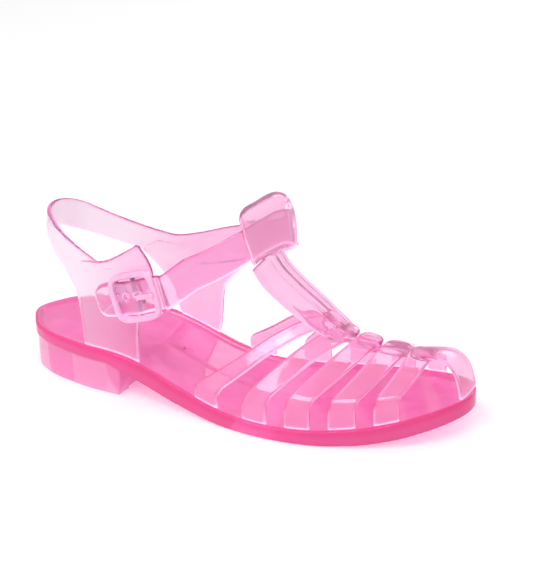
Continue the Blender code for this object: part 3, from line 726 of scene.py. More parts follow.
def shell(name, points, above, below):
    """Closed skin at two distances from a grid of middle points.

    Both distances fall to nothing at the grid's border, so the two skins
    meet there in a round edge and their doubles merge.
    """
    normals = grid_normals(points)
    rows, cols = points.shape[:2]
    a = points + normals * above[..., None]
    b = points - normals * below[..., None]
    faces = quads(rows, cols) + [f[::-1] for f in quads(rows, cols, start=rows * cols)]
    return mesh_object(name, np.vstack([a.reshape(-1, 3), b.reshape(-1, 3)]), faces)


def bead(distance, radius):
    """Half thickness near an edge: a quarter circle of the given radius."""
    t = np.clip(distance / radius, 0, 1)
    return np.sqrt(np.clip(1 - (1 - t) ** 2, 0, 1))


def walked(points, axis):
    """Distance walked from a grid's first row or column to each point."""
    steps = np.linalg.norm(np.diff(points, axis=axis), axis=2)
    return np.insert(np.cumsum(steps, axis=axis), 0, 0.0, axis=axis)


def strip(name, points, wall, relief=None):
    """Strap of an even wall with round edges, round a grid of points.

    The half thickness is half the wall, brought to nothing over half a wall
    by a quarter circle at both long edges and both ends. A relief is added
    on the outer face.
    """
    radius = wall / 2
    across, along = walked(points, 1), walked(points, 0)
    edge = bead(np.minimum(across, across[:, -1:] - across), radius)
    half = edge * bead(along, radius) * bead(along[-1:] - along, radius) * wall / 2
    above = half if relief is None else half + relief * (half > 0) * edge
    return shell(name, points, above, half)


def packed_shares(count, packing):
    """Shares 0 to 1, packed towards both ends by a power."""
    t = np.linspace(-1, 1, count)
    return (np.sign(t) * (1 - (1 - np.abs(t)) ** packing) + 1) / 2


def across_shares(count):
    """Shares 0 to 1 across a strap, packed at both edges for their rounding."""
    return packed_shares(count, ACROSS_PACKING)


def along_shares(count):
    """Shares 0 to 1 along a strap, packed at both ends for their rounding."""
    return packed_shares(count, ALONG_PACKING)


def cage_strap(number, side):
    """A cage strap from the rim over the ridge to its round end.

    Its line sweeps forward by the section's sweep column. Past the ridge the
    half width shrinks as the root of 1 less the way to the tip to the power
    of the end's bluntness, and the outer straps step up over the inner.
    """
    sole, upper, _ = sizes()
    keys, _, _, _, sweep = columns(CAGE)
    rim_rear, rim_front, top_rear, top_front = STRAPS[number]
    lap = upper.lap / (sole.ball / 2)
    bluntness, narrowest = 2.4, 0.02
    step_start, step_stop = 0.55, 0.95
    rows, cols = CAGE_GRID
    turn = along_shares(rows) * (1 + lap)
    run = np.where(turn < 1, curve(keys, sweep, np.minimum(turn, 1)), 1.0)[:, None]
    wide = (top_front - top_rear) * sole.long
    past = np.clip((turn - (1 + lap) + wide / sole.ball) / (wide / sole.ball), 0, 1)
    narrow = np.sqrt(np.clip(1 - past ** bluntness, 0.0, 1))[:, None]
    share = 0.5 + (across_shares(cols)[None] - 0.5) * np.maximum(narrow, narrowest)
    start = rim_rear + (rim_front - rim_rear) * share
    stop = top_rear + (top_front - top_rear) * share
    points = cage(start + (stop - start) * run, np.repeat(turn[:, None], cols, 1), side)
    lift = -side * upper.step * smooth(step_start, step_stop, turn)
    points[:, :, 2] += lift[:, None]
    return strip("strap", points, upper.wall)


def toe_strap():
    """Strap over the ridge's end and down to the toe, crowned across.

    Its edges lie back by the bow, and down by the crown, times the square of
    their share. The crown fades below a quarter of the cage's rise.
    """
    sole, upper, _ = sizes()
    bow, fade = 0.0006, 4
    rows, cols = TOE_GRID
    along, up, wide = columns(TOE)
    at = along_shares(rows)
    keys = np.linspace(0, 1, len(along))
    s = curve(keys, along, at)[:, None]
    height = ridge_up(TOE_SOURCE) * curve(keys, up, at)[:, None]
    half = upper.toe / 2 * curve(keys, wide, at)[:, None]
    share = across_shares(cols)[None] * 2 - 1
    x = s * sole.long - bow * share ** 2
    y = ridge_y(s) + half * share
    crown = upper.crown * share ** 2 * np.clip(height / upper.rise * fade, 0, 1)
    z = top(s) + upper.seat + height - crown
    return strip("toe_strap", np.stack([x + 0 * y, y, z], -1), upper.wall)


def tbar_ends():
    """Foot of the T-bar on the ridge and its head in the loop's lower wall."""
    sole, upper, _ = sizes()
    height = float(top(TBAR_FOOT) + upper.seat + ridge_up(TBAR_FOOT)) + upper.tbar_stand
    foot = np.array([TBAR_FOOT * sole.long, float(ridge_y(TBAR_FOOT)), height])
    line, _, _, up = loop_line(np.zeros(1))
    head = line[0] - up[0] * (upper.loop_high - upper.wall) / 2
    head[1] = ridge_y(0.0) - upper.tbar_shift
    return foot, head


def t_bar():
    """T-bar from the cage to the loop, with round ribs along its face.

    Its middle line runs back and up by the table's shares, its edges bow
    down and a little back by the square of their share, and a rib is a
    raised cosine of its height at its share of the half width. The ribs
    rise and fade near the two ends.
    """
    _, upper, _ = sizes()
    back, rib_start, rib_stop = 0.6, 0.12, 0.9
    rows, cols = TBAR_GRID
    run, rise, wide = columns(TBAR)
    at = along_shares(rows)
    keys = np.linspace(0, 1, len(run))
    run = curve(keys, run, at)[:, None]
    rise = curve(keys, rise, at)[:, None]
    foot, head = tbar_ends()
    half = upper.tbar / 2 * curve(keys, wide, at)[:, None]
    share = -np.linspace(-1, 1, cols)[None]
    x = foot[0] + (head[0] - foot[0]) * run - upper.tbar_bow * back * share ** 2
    y = foot[1] + (head[1] - foot[1]) * run + half * share
    z = foot[2] + (head[2] - foot[2]) * rise - upper.tbar_bow * share ** 2
    relief = np.zeros_like(y)
    for place, width, high in RIBS:
        t = np.clip(np.abs(share - place) / width, 0, 1)
        relief = relief + high * upper.wall * (np.cos(math.pi * t) + 1) / 2
    fade = smooth(0.0, rib_start, at) * (1 - smooth(rib_stop, 1.0, at))
    return strip("t_bar", np.stack([x, y, z], -1), upper.wall, relief=relief * fade[:, None])


def frame_of(points, lean):
    """Tangent, outward and across directions along a line of points."""
    tangent = unit(np.gradient(points, axis=0))
    flat = unit(tangent * np.array([1.0, 1.0, 0.0]))
    out = np.stack([-flat[:, 1], flat[:, 0], np.zeros(len(flat))], -1)
    out = out * np.cos(lean)[:, None] + np.array([0, 0, 1.0]) * np.sin(lean)[:, None]
    across = unit(np.cross(out, tangent))
    across = across * np.where(across[:, 2:] < 0, -1.0, 1.0)
    return tangent, unit(np.cross(tangent, across)), across


def collar_line():
    """Middle line, widths and leans of the collar and ankle strap."""
    sole, upper, _ = sizes()
    along, out, up, wide, lean = columns(COLLAR)
    points = np.stack([along * sole.long, out * upper.ankle, sole.heel_top + up * upper.collar], -1)
    return points, wide * upper.strap, lean * upper.loop_lean


def quarter_y(s, up, side):
    """Side place of the quarters, which lean in from the rim.

    The outer one meets the collar's own line, and the inner one a share of
    the ankle's half width, by a power of the height.
    """
    _, upper, _ = sizes()
    rim = middle(s) + side * (half_width(s) - upper.inset - upper.wall / 2)
    if side < 0:
        along, out = (column[HEEL_ROW::-1] for column in columns(COLLAR)[:2])
        high = upper.ankle * np.maximum(curve(along, out, s), -1.0)
    else:
        high = upper.ankle * INNER_TOP
    return rim + (high - rim) * np.clip(up, 0, 1) ** QUARTER_CURL


def buckle_place():
    """Middle, run, out and up directions of the buckle on the quarter."""
    sole, upper, buckle = sizes()
    run = unit(np.array([math.cos(BUCKLE_SLOPE) * math.cos(BUCKLE_TURN),
                         -math.sin(BUCKLE_TURN), math.sin(BUCKLE_SLOPE)]))
    out = np.array([0.0, -math.cos(BUCKLE_LEAN), math.sin(BUCKLE_LEAN)])
    out = unit(out - run * np.dot(out, run))
    up = np.cross(out, run)
    up = up if up[2] > 0 else -up
    y = quarter_y(BUCKLE_ALONG, BUCKLE_UP, -1) - upper.wall / 2 - buckle.stand - buckle.pin / 2
    z = sole.heel_top + BUCKLE_UP * upper.collar
    return np.array([BUCKLE_ALONG * sole.long, y, z]), run, out, up


def quarter(table, side):
    """Wall between a quarter's rear and front edges, from the rim up.

    Its foot follows the rim, and its height passes over to shares of the
    collar's rise within the foot.
    """
    sole, upper, _ = sizes()
    foot = 0.2
    rows, cols = QUARTER_GRID
    up, rear, front = columns(table)
    at = along_shares(rows) * up[-1]
    share = across_shares(cols)[None]
    a = curve(up, rear, at)[:, None]
    b = curve(up, front, at)[:, None]
    s = a + (b - a) * share
    at = at[:, None] + 0 * s
    seat = top(s) + upper.seat
    high = sole.heel_top + upper.collar * at
    z = seat + (high - seat) * np.clip(at / foot, 0, 1)
    points = np.stack([s * sole.long, quarter_y(s, at, side), z], -1)
    return strip("quarter", points, upper.wall)


def collar_strap():
    """Collar and ankle strap in one band, carried on into its round end."""
    _, upper, buckle = sizes()
    rows, cols = COLLAR_GRID
    points, width, lean = collar_line()
    line = spline(np.column_stack([points, width, lean]), rows)
    _, _, across = frame_of(line[:, :3], line[:, 4])
    centre, run, out, up = buckle_place()
    ahead, lift, wide = columns(STRAP_END)
    hump = buckle.pin / 2 + buckle.fit + upper.wall / 2
    end = centre + ahead[:, None] * buckle.long * run + (hump * lift)[:, None] * out
    keys = np.vstack([np.column_stack([line[-1:, :3], line[-1:, 3:4], across[-1:]]),
                      np.column_stack([end, upper.strap * wide, np.repeat(up[None], len(end), 0)])])
    tail = spline(keys, END_ROWS)[1:]
    middles = np.vstack([line[:, :3], tail[:, :3]])
    widths = np.concatenate([line[:, 3], tail[:, 3]])
    across = unit(np.vstack([across, tail[:, 4:7]]))
    share = across_shares(cols) - 0.5
    grid = middles[:, None] + across[:, None] * (widths[:, None] * share[None])[..., None]
    return strip("collar_strap", grid, upper.wall)


def loop_line(places):
    """Frames along the ankle strap at places before and past the loop's middle."""
    _, upper, _ = sizes()
    points, _, lean = collar_line()
    near = slice(LOOP_ROW - LOOP_REACH, LOOP_ROW + LOOP_REACH + 1)
    fine = spline(np.column_stack([points, lean])[near], LOOP_STEPS)
    run, front, up = frame_of(fine[:, :3], fine[:, 3])
    steps = np.linalg.norm(np.diff(fine[:, :3], axis=0), axis=1)
    distance = np.concatenate([[0.0], np.cumsum(steps)])
    at = distance[len(distance) // 2] + places
    rows = np.column_stack([fine[:, :3], run, front, up])
    rows = np.stack([np.interp(at, distance, column) for column in rows.T], -1)
    up = unit(rows[:, 9:])
    return rows[:, :3] + up * upper.loop_raise, unit(rows[:, 3:6]), unit(rows[:, 6:9]), up


def squared_circle(count, power):
    """Two columns of points round a circle, squared by a power under 1."""
    turn = np.linspace(0, 2 * math.pi, count, endpoint=False)
    return [np.sign(c) * np.abs(c) ** power for c in (np.cos(turn), np.sin(turn))]


def ring(width, height, corner, count):
    """Rounded rectangle, by a power of 1 for an ellipse and a quarter at least.

    The power is 2 over a number that grows from 2 to 8 as the corner shrinks
    from half the smaller side to nothing.
    """
    power = 2.0 / (2.0 + 6.0 * (1 - 2 * corner / min(width, height)))
    x, y = squared_circle(count, power)
    return np.stack([x * width / 2, y * height / 2], -1)


def loop_sleeve():
    """Flat sleeve at the head of the T-bar, open along the ankle strap.

    The outer ring is carried along the strap's line, turned in at the end
    over a round lip and carried back as the inner ring. Its upper corners
    are quarter circles, and its ends' tops are cut back.
    """
    _, upper, _ = sizes()
    outer_corner, inner_corner = 0.45, 0.6
    rows, count = LOOP_GRID
    share = along_shares(rows)
    places = (share - 0.5) * upper.loop
    line, run, front, up = (part[:, None] for part in loop_line(places))
    outer = ring(upper.loop_deep, upper.loop_high, upper.loop_deep * outer_corner, count)
    bore = 2 * upper.wall
    inner = ring(upper.loop_deep - bore, upper.loop_high - bore, upper.wall * inner_corner, count)
    middle_ring = (outer + inner) / 2
    end = upper.loop / 2 - np.abs(places)
    lip = bead(end, upper.wall / 2)[:, None, None]
    near = np.clip(1 - end / upper.loop_corner, 0, 1)
    drop = (upper.loop_corner * (1 - np.sqrt(1 - near ** 2)))[:, None]
    at = share[:, None]
    skins = []
    for edge, order in ((outer, slice(None)), (inner, slice(None, None, -1))):
        part = middle_ring[None] + (edge - middle_ring)[None] * lip
        high = part[..., 1] / upper.loop_high + 0.5
        back = (1 - at) * upper.loop_round * high ** 2 - at * upper.loop_skew * high
        low = part[..., 1] - drop * np.maximum(2 * part[..., 1] / upper.loop_high, 0)
        skin = line + front * part[..., :1] + up * low[..., None] + run * back[..., None]
        skins.append(skin[order])
    skins = np.vstack(skins)
    points = np.vstack([skins, skins[:1]])
    return mesh_object("loop", points.reshape(-1, 3), quads(len(points), count, wrap=True))


def prism(name, outline, near, far):
    """Prism of an outline in the buckle's directions, closed at both ends."""
    centre, run, out, up = buckle_place()
    outline = np.asarray(outline, float)
    rim = centre + outline[:, :1] * run + outline[:, 1:] * up
    count = len(outline)
    points = np.vstack([rim + out * near, rim + out * far])
    faces = quads(2, count, wrap=True)
    faces += [list(range(count)), list(range(count, 2 * count))]
    return mesh_object(name, points, faces)


def keeper():
    """Saddle that the buckle's pin sits in, rooted in the quarter's wall."""
    _, upper, buckle = sizes()
    root = 0.4
    half, wide = buckle.keeper / 2, buckle.pin / 2
    seat = -buckle.pin / 2 - buckle.fit
    shape = [(-wide, -half), (wide, -half), (wide, half), (-wide, half)]
    return prism("keeper", shape, seat - buckle.stand - upper.wall * root, seat)


def stem_run():
    """How far before the pin's middle the prong goes through the strap."""
    _, _, buckle = sizes()
    return buckle.pin / 2 + buckle.fit + buckle.prong * PRONG_SHIFT


def cut_holes(strap):
    """Round holes through the ankle strap's end, by a Boolean each."""
    _, _, buckle = sizes()
    turn = np.linspace(0, 2 * math.pi, HOLE_POINTS, endpoint=False)
    circle = np.stack([np.cos(turn), np.sin(turn)], -1) * buckle.hole / 2
    for count in (0, -1):
        shift = np.array([stem_run() + count * buckle.pitch, 0.0])
        cutter = prism("strap_hole", circle + shift, 0.0, buckle.deep * 2)
        cut = strap.modifiers.new("Hole", "BOOLEAN")
        cut.operation = "DIFFERENCE"
        cut.solver = "EXACT"
        cut.object = cutter
        apply_modifiers(strap)
        bpy.data.objects.remove(cutter, do_unlink=True)


def apply_modifiers(obj):
    """Write the object's evaluated mesh back, with its modifiers gone."""
    evaluated = obj.evaluated_get(bpy.context.evaluated_depsgraph_get())
    mesh = bpy.data.meshes.new_from_object(evaluated)
    obj.modifiers.clear()
    old = obj.data
    obj.data = mesh
    bpy.data.meshes.remove(old)


def point_rows(mesh, field):
    """Read "co" or "normal" of all points of a mesh, a row for each."""
    rows = np.empty(len(mesh.vertices) * 3)
    mesh.vertices.foreach_get(field, rows)
    return rows.reshape(-1, 3)


def store_share(mesh, name, share):
    """Store a number for each point under a name that a material reads."""
    layer = mesh.attributes.new(name, "FLOAT", "POINT")
    layer.data.foreach_set("value", share.astype(np.float32))


def fuse(name, pieces, grain, limit):
    """One closed skin round overlapping closed pieces.

    The pieces' meshes are put together, rebuilt on cells of the grain's size
    so that whatever overlaps becomes one, relaxed, and thinned to the limit
    of triangles.
    """
    bm = bmesh.new()
    for piece in pieces:
        bm.from_mesh(piece.data)
        bpy.data.objects.remove(piece, do_unlink=True)
    mesh = bpy.data.meshes.new(name)
    bm.to_mesh(mesh)
    bm.free()
    obj = bpy.data.objects.new(name, mesh)
    bpy.context.scene.collection.objects.link(obj)
    remesh = obj.modifiers.new("Fuse", "REMESH")
    remesh.mode = "VOXEL"
    remesh.voxel_size = grain
    remesh.adaptivity = 0.0
    relaxed = obj.modifiers.new("Relax", "SMOOTH")
    relaxed.factor = 0.5
    relaxed.iterations = RELAX
    apply_modifiers(obj)
    count = sum(len(f.vertices) - 2 for f in obj.data.polygons)
    if count > limit:
        thin = obj.modifiers.new("Thin", "DECIMATE")
        thin.ratio = limit / count
        apply_modifiers(obj)
    obj.data.shade_smooth()
    return obj


def closed_loft(name, rows):
    """Closed skin through rings of points, its two ends drawn to a point."""
    rows = np.asarray(rows)
    first = np.repeat(rows[:1].mean(axis=1, keepdims=True), rows.shape[1], 1)
    last = np.repeat(rows[-1:].mean(axis=1, keepdims=True), rows.shape[1], 1)
    rows = np.concatenate([first, rows, last])
    return mesh_object(name, rows.reshape(-1, 3), quads(len(rows), rows.shape[1], wrap=True))


def sole_edge(count):
    """Closed outline of the sole and its inward normals.

    The share of the length runs by a cosine from heel to toe on the outer
    side and back on the inner, so that the points stay even round the ends.
    """
    sole, _, _ = sizes()
    turn = np.linspace(0, 2, count, endpoint=False)
    s = (1 - np.cos(math.pi * turn)) / 2
    side = np.where(turn < 1, -1.0, 1.0)
    edge = np.stack([s * sole.long, middle(s) + side * half_width(s)], -1)
    ahead = np.roll(edge, -1, axis=0) - np.roll(edge, 1, axis=0)
    inward = unit(np.stack([-ahead[:, 1], ahead[:, 0]], -1))
    return edge, inward


def sole_slab():
    """Slab of the sole in rings from its footbed's middle to its underside.

    Rings run out from the middle line to the rim's section, down the side
    with round corners and in again to the middle line, which ends short of
    the heel and the toe. Heights are read at each point's own place along
    the sole.
    """
    sole, _, _ = sizes()
    spine_start, spine_stop = 0.10, 0.88
    edge, inward = sole_edge(OUTLINE_POINTS)
    inset, drop = columns(RIM)
    inner = edge + inward * inset[-1] * sole.rim
    spine_s = np.clip(edge[:, 0] / sole.long, spine_start, spine_stop)
    spine = np.stack([spine_s * sole.long, middle(spine_s)], -1)
    rings = []
    for share in np.linspace(0, 0.94, 12):
        flat = spine + (inner - spine) * share
        rings.append((flat, 1.0, sole.footbed * drop[-1]))
    for wide, deep in zip(inset[::-1], drop[::-1]):
        rings.append((edge + inward * wide * sole.rim, 1.0, sole.footbed * deep))
    for share in np.linspace(0.86, 0.14, 7):
        rings.append((edge, share, 0.0))
    for turn in np.linspace(0.2, 1.0, 4) * math.pi / 2:
        back, lift = SLAB_CORNER * (1 - math.cos(turn)), SLAB_CORNER * (1 - math.sin(turn))
        rings.append((edge + inward * back, 0.0, -lift))
    for share in np.linspace(0.98, 0, 12):
        rings.append((spine + (edge + inward * SLAB_CORNER - spine) * share, 0.0, 0.0))
    rows = []
    for flat, share, deep in rings:
        s = np.clip(flat[:, 0] / sole.long, 0, 1)
        z = under(s) + (top(s) - under(s)) * share - deep
        rows.append(np.column_stack([flat, z]))
    return closed_loft("slab", rows)


def heel_block():
    """Block under the slab's heel, with a slightly askew breast.

    Rings follow the outline, stood in from the slab's edge, from inside the
    slab down to the floor, with a round foot. Places past the breast are
    drawn back to its plane.
    """
    sole, _, _ = sizes()
    edge, inward = sole_edge(OUTLINE_POINTS)
    rings = [(sole.heel_inset, share, 0.0) for share in (1.0, *np.linspace(0.95, 0.12, 8))]
    for turn in np.linspace(0.25, 1.0, 4) * math.pi / 2:
        back, lift = sole.heel_taper * (1 - math.cos(turn)), sole.heel_taper * (1 - math.sin(turn))
        rings.append((sole.heel_inset + back, 0.0, lift))
    rows = []
    for inset, share, lift in rings:
        flat = edge + inward * inset
        s = np.clip(flat[:, 0] / sole.long, 0, 1)
        z = (under(s) + HEEL_SINK) * share + lift
        side = flat[:, 1] - middle(HEEL_MIDDLE)
        breast = (sole.heel - lift * BREAST_ROUND + side * sole.skew / HEEL_WIDTH
                  + z * math.tan(BREAST_LEAN))
        past = flat[:, 0] > breast
        x = np.minimum(flat[:, 0], breast)
        s = np.clip(x / sole.long, 0, 1)
        z = (under(s) + HEEL_SINK) * share + lift
        y = np.where(past, middle(s) + np.sign(side) * (half_width(s) - inset), flat[:, 1])
        close = np.clip(1 - (flat[:, 0] - breast) / (sole.long - breast), 0, 1)
        y = np.where(past, middle(s) + (y - middle(s)) * close, y)
        rows.append(np.column_stack([x, y, z]))
    return closed_loft("heel_block", rows)


def mark_sole(obj):
    """Attributes "edge", 1 on the slab's side, and "block", 1 below the slab.

    A point's place is read as its share of the sole's length, its height
    between the slab's underside and rim and its way in from the outline. The
    side ends within the rim, and its lower part takes a paler share.
    """
    sole, _, _ = sizes()
    pale, pale_stop, deep_start = 0.72, 0.45, 0.85
    side_stop, side_start = 0.5, 0.9
    block_stop, slab_start = 0.0010, 0.0002
    co = point_rows(obj.data, "co") - centred(np.zeros((1, 3)))
    s = np.clip(co[:, 0] / sole.long, 0, 1)
    low, high = under(s), top(s)
    inward = half_width(s) - np.abs(co[:, 1] - middle(s))
    side = 1 - smooth(sole.rim * side_stop, sole.rim * side_start, inward)
    over = smooth(low - block_stop, low + slab_start, co[:, 2])
    rise = (co[:, 2] - low) / (high - low)
    deep = pale + (1 - pale) * smooth(pale_stop, deep_start, rise)
    store_share(obj.data, "edge", side * over * deep)
    store_share(obj.data, "block", 1 - over)


class Socket:
    """A socket with the arithmetic of Math nodes."""

    def __init__(self, tree, link):
        self.tree = tree
        self.link = link

    def apply(self, operation, a, b):
        node = self.tree.tree.nodes.new("ShaderNodeMath")
        node.operation = operation
        for slot, value in zip(node.inputs, (a, b)):
            self.tree.feed(slot, value)
        return Socket(self.tree, node.outputs[0])

    def __add__(self, other):
        return self.apply("ADD", self, other)

    def __radd__(self, other):
        return self.apply("ADD", other, self)

    def __mul__(self, other):
        return self.apply("MULTIPLY", self, other)

    def __rmul__(self, other):
        return self.apply("MULTIPLY", other, self)


class Finish:
    """A new material whose nodes are added one call at a time."""

    def __init__(self, name):
        self.material = bpy.data.materials.new(name)
        self.material.use_nodes = True
        self.tree = self.material.node_tree
        self.tree.nodes.clear()

    def feed(self, slot, value):
        """Link a socket or set a plain value."""
        if isinstance(value, Socket):
            self.tree.links.new(value.link, slot)
        else:
            slot.default_value = value

    def node(self, kind, settings=None, output=0, **values):
        """Add a node by type, its settings first and then its sockets."""
        node = self.tree.nodes.new(kind)
        for key, value in (settings or {}).items():
            if key == "stops":
                for stop, (place, shade) in zip(node.color_ramp.elements, value):
                    stop.position = place
                    stop.color = shade
            else:
                setattr(node, key, value)
        for key, value in values.items():
            slot = node.inputs[int(key[1:]) if key[1:].isdigit() else key.replace("_", " ")]
            self.feed(slot, value)
        return Socket(self, node.outputs[output])

    def mix(self, share, first, second):
        """Turn one colour into another by a share."""
        return self.node("ShaderNodeMix", {"data_type": "RGBA"}, output=2,
                         _0=share, _6=first, _7=second)

    def cloud(self, share, low, first, high, second):
        """Run from one colour to another between two values of a share."""
        stops = ((low, (*first, 1)), (high, (*second, 1)))
        return self.node("ShaderNodeValToRGB", {"stops": stops}, Fac=share)

    def stored(self, name):
        """Read the number that is stored on the points under a name."""
        return self.node("ShaderNodeAttribute", {"attribute_name": name}, output=2)

    def send(self, surface, volume=None):
        """Send the shaders to the material's output."""
        out = self.tree.nodes.new("ShaderNodeOutputMaterial")
        self.feed(out.inputs["Surface"], surface)
        if volume is not None:
            self.feed(out.inputs["Volume"], volume)


def neighbour_mean(values, pairs, turns):
    """Values of a mesh's points averaged with their neighbours, in turns."""
    count = len(values)
    total = np.bincount(pairs.ravel(), minlength=count)
    for _ in range(turns):
        near = np.bincount(pairs[:, 0], values[pairs[:, 1]], count)
        near += np.bincount(pairs[:, 1], values[pairs[:, 0]], count)
        values = (values + near) / (1 + total)
    return values


def mark_edges(obj):
    """Attributes of painted shade ("edge") and painted highlight on round edges, 0 on flat places.

    The bend along each mesh edge is the change of the normals along it over
    its length squared. Its mean at a point rises between the two values of
    EDGE_BEND, and is then spread to the neighbours. Edges that face down or
    outward get the painted highlight, light given off in place of the light
    they catch, and the others more of the painted shade, a deeper pink.
    """
    mesh = obj.data
    down, level, outward, painted_highlight_depth = -0.55, 0.15, 0.3, 0.8
    co = point_rows(mesh, "co")
    normals = point_rows(mesh, "normal")
    pairs = np.empty(len(mesh.edges) * 2, dtype=np.int32)
    mesh.edges.foreach_get("vertices", pairs)
    pairs = pairs.reshape(-1, 2)
    step = co[pairs[:, 1]] - co[pairs[:, 0]]
    turn = normals[pairs[:, 1]] - normals[pairs[:, 0]]
    bend = (step * turn).sum(1) / np.maximum((step ** 2).sum(1), 1e-12)
    count = np.maximum(np.bincount(pairs.ravel(), minlength=len(co)), 1)
    both = np.bincount(pairs[:, 0], bend, len(co)) + np.bincount(pairs[:, 1], bend, len(co))
    rounded = smooth(*EDGE_BEND, neighbour_mean(both / count, pairs, EDGE_SPREAD))
    downward = 1 - smooth(down, level, normals[:, 2] + normals[:, 1] * outward)
    # Round edges get painted shade, less of it where they face down, and the downward ones a painted
    # highlight
    for name, part in (("edge", 1 - painted_highlight_depth * downward), ("painted_edge_highlight", downward)):
        share = neighbour_mean(rounded * part, pairs, EDGE_SPREAD)
        store_share(mesh, name, np.clip(share, 0, 1))


def jelly(name, skin, band, clear, density, block=None, fade=None):
    """Clear tinted plastic that deepens with its thickness.

    A Principled surface lets the clear share of the light through and sends
    the rest back from a milky skin with a faint mould ripple. The skin turns
    to the band's colour where "edge" is stored on the points; on the straps'
    round edges that colour is painted shade, a deeper pink. Where "block" is
    stored it turns to the block's colour, broken by painted light and shade
    into upright facets. A fade holds an axis, two places along it and the
    colour that takes over between them. Round edges that face down or outward
    give off a little light, a painted highlight. Inside is an even absorption.
    For the lamps' shadow rays the skin is a see-through film, so that light
    passes into and under the shoe.
    """
    look = bpy.context.scene.sandal_look
    finish = Finish(name)
    places = finish.node("ShaderNodeTexCoord", output=3)
    wave = finish.node("ShaderNodeTexNoise", Vector=places, Scale=95.0, Detail=2.0)
    fine = finish.node("ShaderNodeTexNoise", Vector=places, Scale=620.0, Detail=3.0)
    bump = finish.node("ShaderNodeBump", Strength=0.25, Distance=JELLY_RIPPLE,
                       Height=wave * 0.75 + fine * 0.25)
    pale = tuple(1 - (1 - c) * JELLY_PALE for c in skin)
    shade = finish.cloud(wave, 0.32, skin, 0.68, pale)
    if block is not None:
        # Painted light and shade: the heel block's colour is broken into lighter and darker upright
        # facets, which the mesh does not have
        tall = finish.node("ShaderNodeMapping", Vector=places, Scale=PAINTED_FACET_CELLS)
        painted_facet = finish.node("ShaderNodeTexVoronoi", {"feature": "SMOOTH_F1"}, output=1,
                            Vector=tall, Scale=1.0, Smoothness=0.12)
        facet_shade = finish.node("ShaderNodeSeparateColor", output=0, Color=painted_facet)
        darkest_facet_shade = tuple(c * d for c, d in zip(block, PAINTED_FACET_SHADE))
        shade = finish.mix(finish.stored("block"), shade, finish.cloud(facet_shade, 0.15, darkest_facet_shade, 0.85, block))
    if fade is not None:
        axis, start, stop, beyond = fade
        place = finish.node("ShaderNodeSeparateXYZ", output=axis, Vector=places)
        share = finish.node("ShaderNodeMapRange", {"interpolation_type": "SMOOTHSTEP"}, Value=place,
                            From_Min=min(start, stop), From_Max=max(start, stop),
                            To_Min=float(start > stop), To_Max=float(start < stop))
        shade = finish.mix(share, shade, (*beyond, 1))
    # On the straps' round edges the band colour is painted shade, a deeper pink; on the sole it is the
    # slab's side
    shade = finish.mix(finish.stored("edge"), shade, (*band, 1))
    # Painted highlight: round edges that face down or outward give off light
    painted_highlight_glow = finish.mix(finish.stored("painted_edge_highlight"), (0.0, 0.0, 0.0, 1.0), (*look.painted_edge_highlight, 1))
    glass = finish.node(
        "ShaderNodeBsdfPrincipled", Base_Color=shade, Roughness=fine * 0.05 + (JELLY_ROUGHNESS - 0.02),
        IOR=look.index, Transmission_Weight=clear, Normal=bump, Emission_Color=painted_highlight_glow,
        Emission_Strength=look.painted_highlight_glow)
    film = finish.node("ShaderNodeBsdfTransparent", Color=(*look.film, 1))
    shadow = finish.node("ShaderNodeLightPath", output=1)
    mixed = finish.node("ShaderNodeMixShader", _0=shadow, _1=glass, _2=film)
    tint = finish.node("ShaderNodeVolumeAbsorption", Color=(*look.tint, 1), Density=density)
    finish.send(mixed, tint)
    return finish.material


def dress(obj, material, slot, *nodes):
    """Paint a piece, set it on its body and hide the imported parts that it stands for."""
    obj.data.materials.clear()
    obj.data.materials.append(material)
    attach(obj, "root")
    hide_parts(*nodes)


class SANDAL_OT_sole(bpy.types.Operator):
    """Build the sole's clear skin."""
    bl_idname = "sandal.sole"
    bl_label = "Sole"

    def execute(self, context):
        sole, _, _ = sizes()
        skin = fuse("sole_skin", [sole_slab(), heel_block()], sole.grain, SOLE_LIMIT)
        mark_sole(skin)
        look = context.scene.sandal_look
        material = jelly("sole_jelly", look.sole_skin, look.sole_band, look.sole_clear,
                         look.sole_density, block=look.heel_skin)
        dress(skin, material, "sole", "sole")
        return {"FINISHED"}


class SANDAL_OT_cage(bpy.types.Operator):
    """Build the cage, toe strap, T-bar and loop as one skin."""
    bl_idname = "sandal.cage"
    bl_label = "Cage and T-bar"

    def execute(self, context):
        _, upper, _ = sizes()
        pieces = [cage_strap(n, side) for n in range(len(STRAPS)) for side in (-1, 1)]
        pieces += [toe_strap(), t_bar(), loop_sleeve()]
        skin = fuse("cage_skin", pieces, upper.grain, UPPER_LIMIT)
        mark_edges(skin)
        look = context.scene.sandal_look
        material = jelly("cage_jelly", look.strap_skin, look.painted_edge_shade, look.strap_clear,
                         look.strap_density, fade=(*LOOP_FADE, look.loop_skin))
        dress(skin, material, "upper", "upper")
        return {"FINISHED"}


class SANDAL_OT_collar(bpy.types.Operator):
    """Build the quarters, collar and ankle strap as one skin."""
    bl_idname = "sandal.collar"
    bl_label = "Collar and strap"

    def execute(self, context):
        _, upper, _ = sizes()
        strap = collar_strap()
        cut_holes(strap)
        pieces = [strap, quarter(OUTER_QUARTER, -1), quarter(INNER_QUARTER, 1), keeper()]
        skin = fuse("collar_skin", pieces, upper.grain, UPPER_LIMIT)
        mark_edges(skin)
        look = context.scene.sandal_look
        material = jelly("collar_jelly", look.collar_skin, look.painted_edge_shade, look.strap_clear,
                         look.collar_density, fade=(*COLLAR_FADE, look.strap_rear))
        dress(skin, material, "upper", "upper")
        return {"FINISHED"}


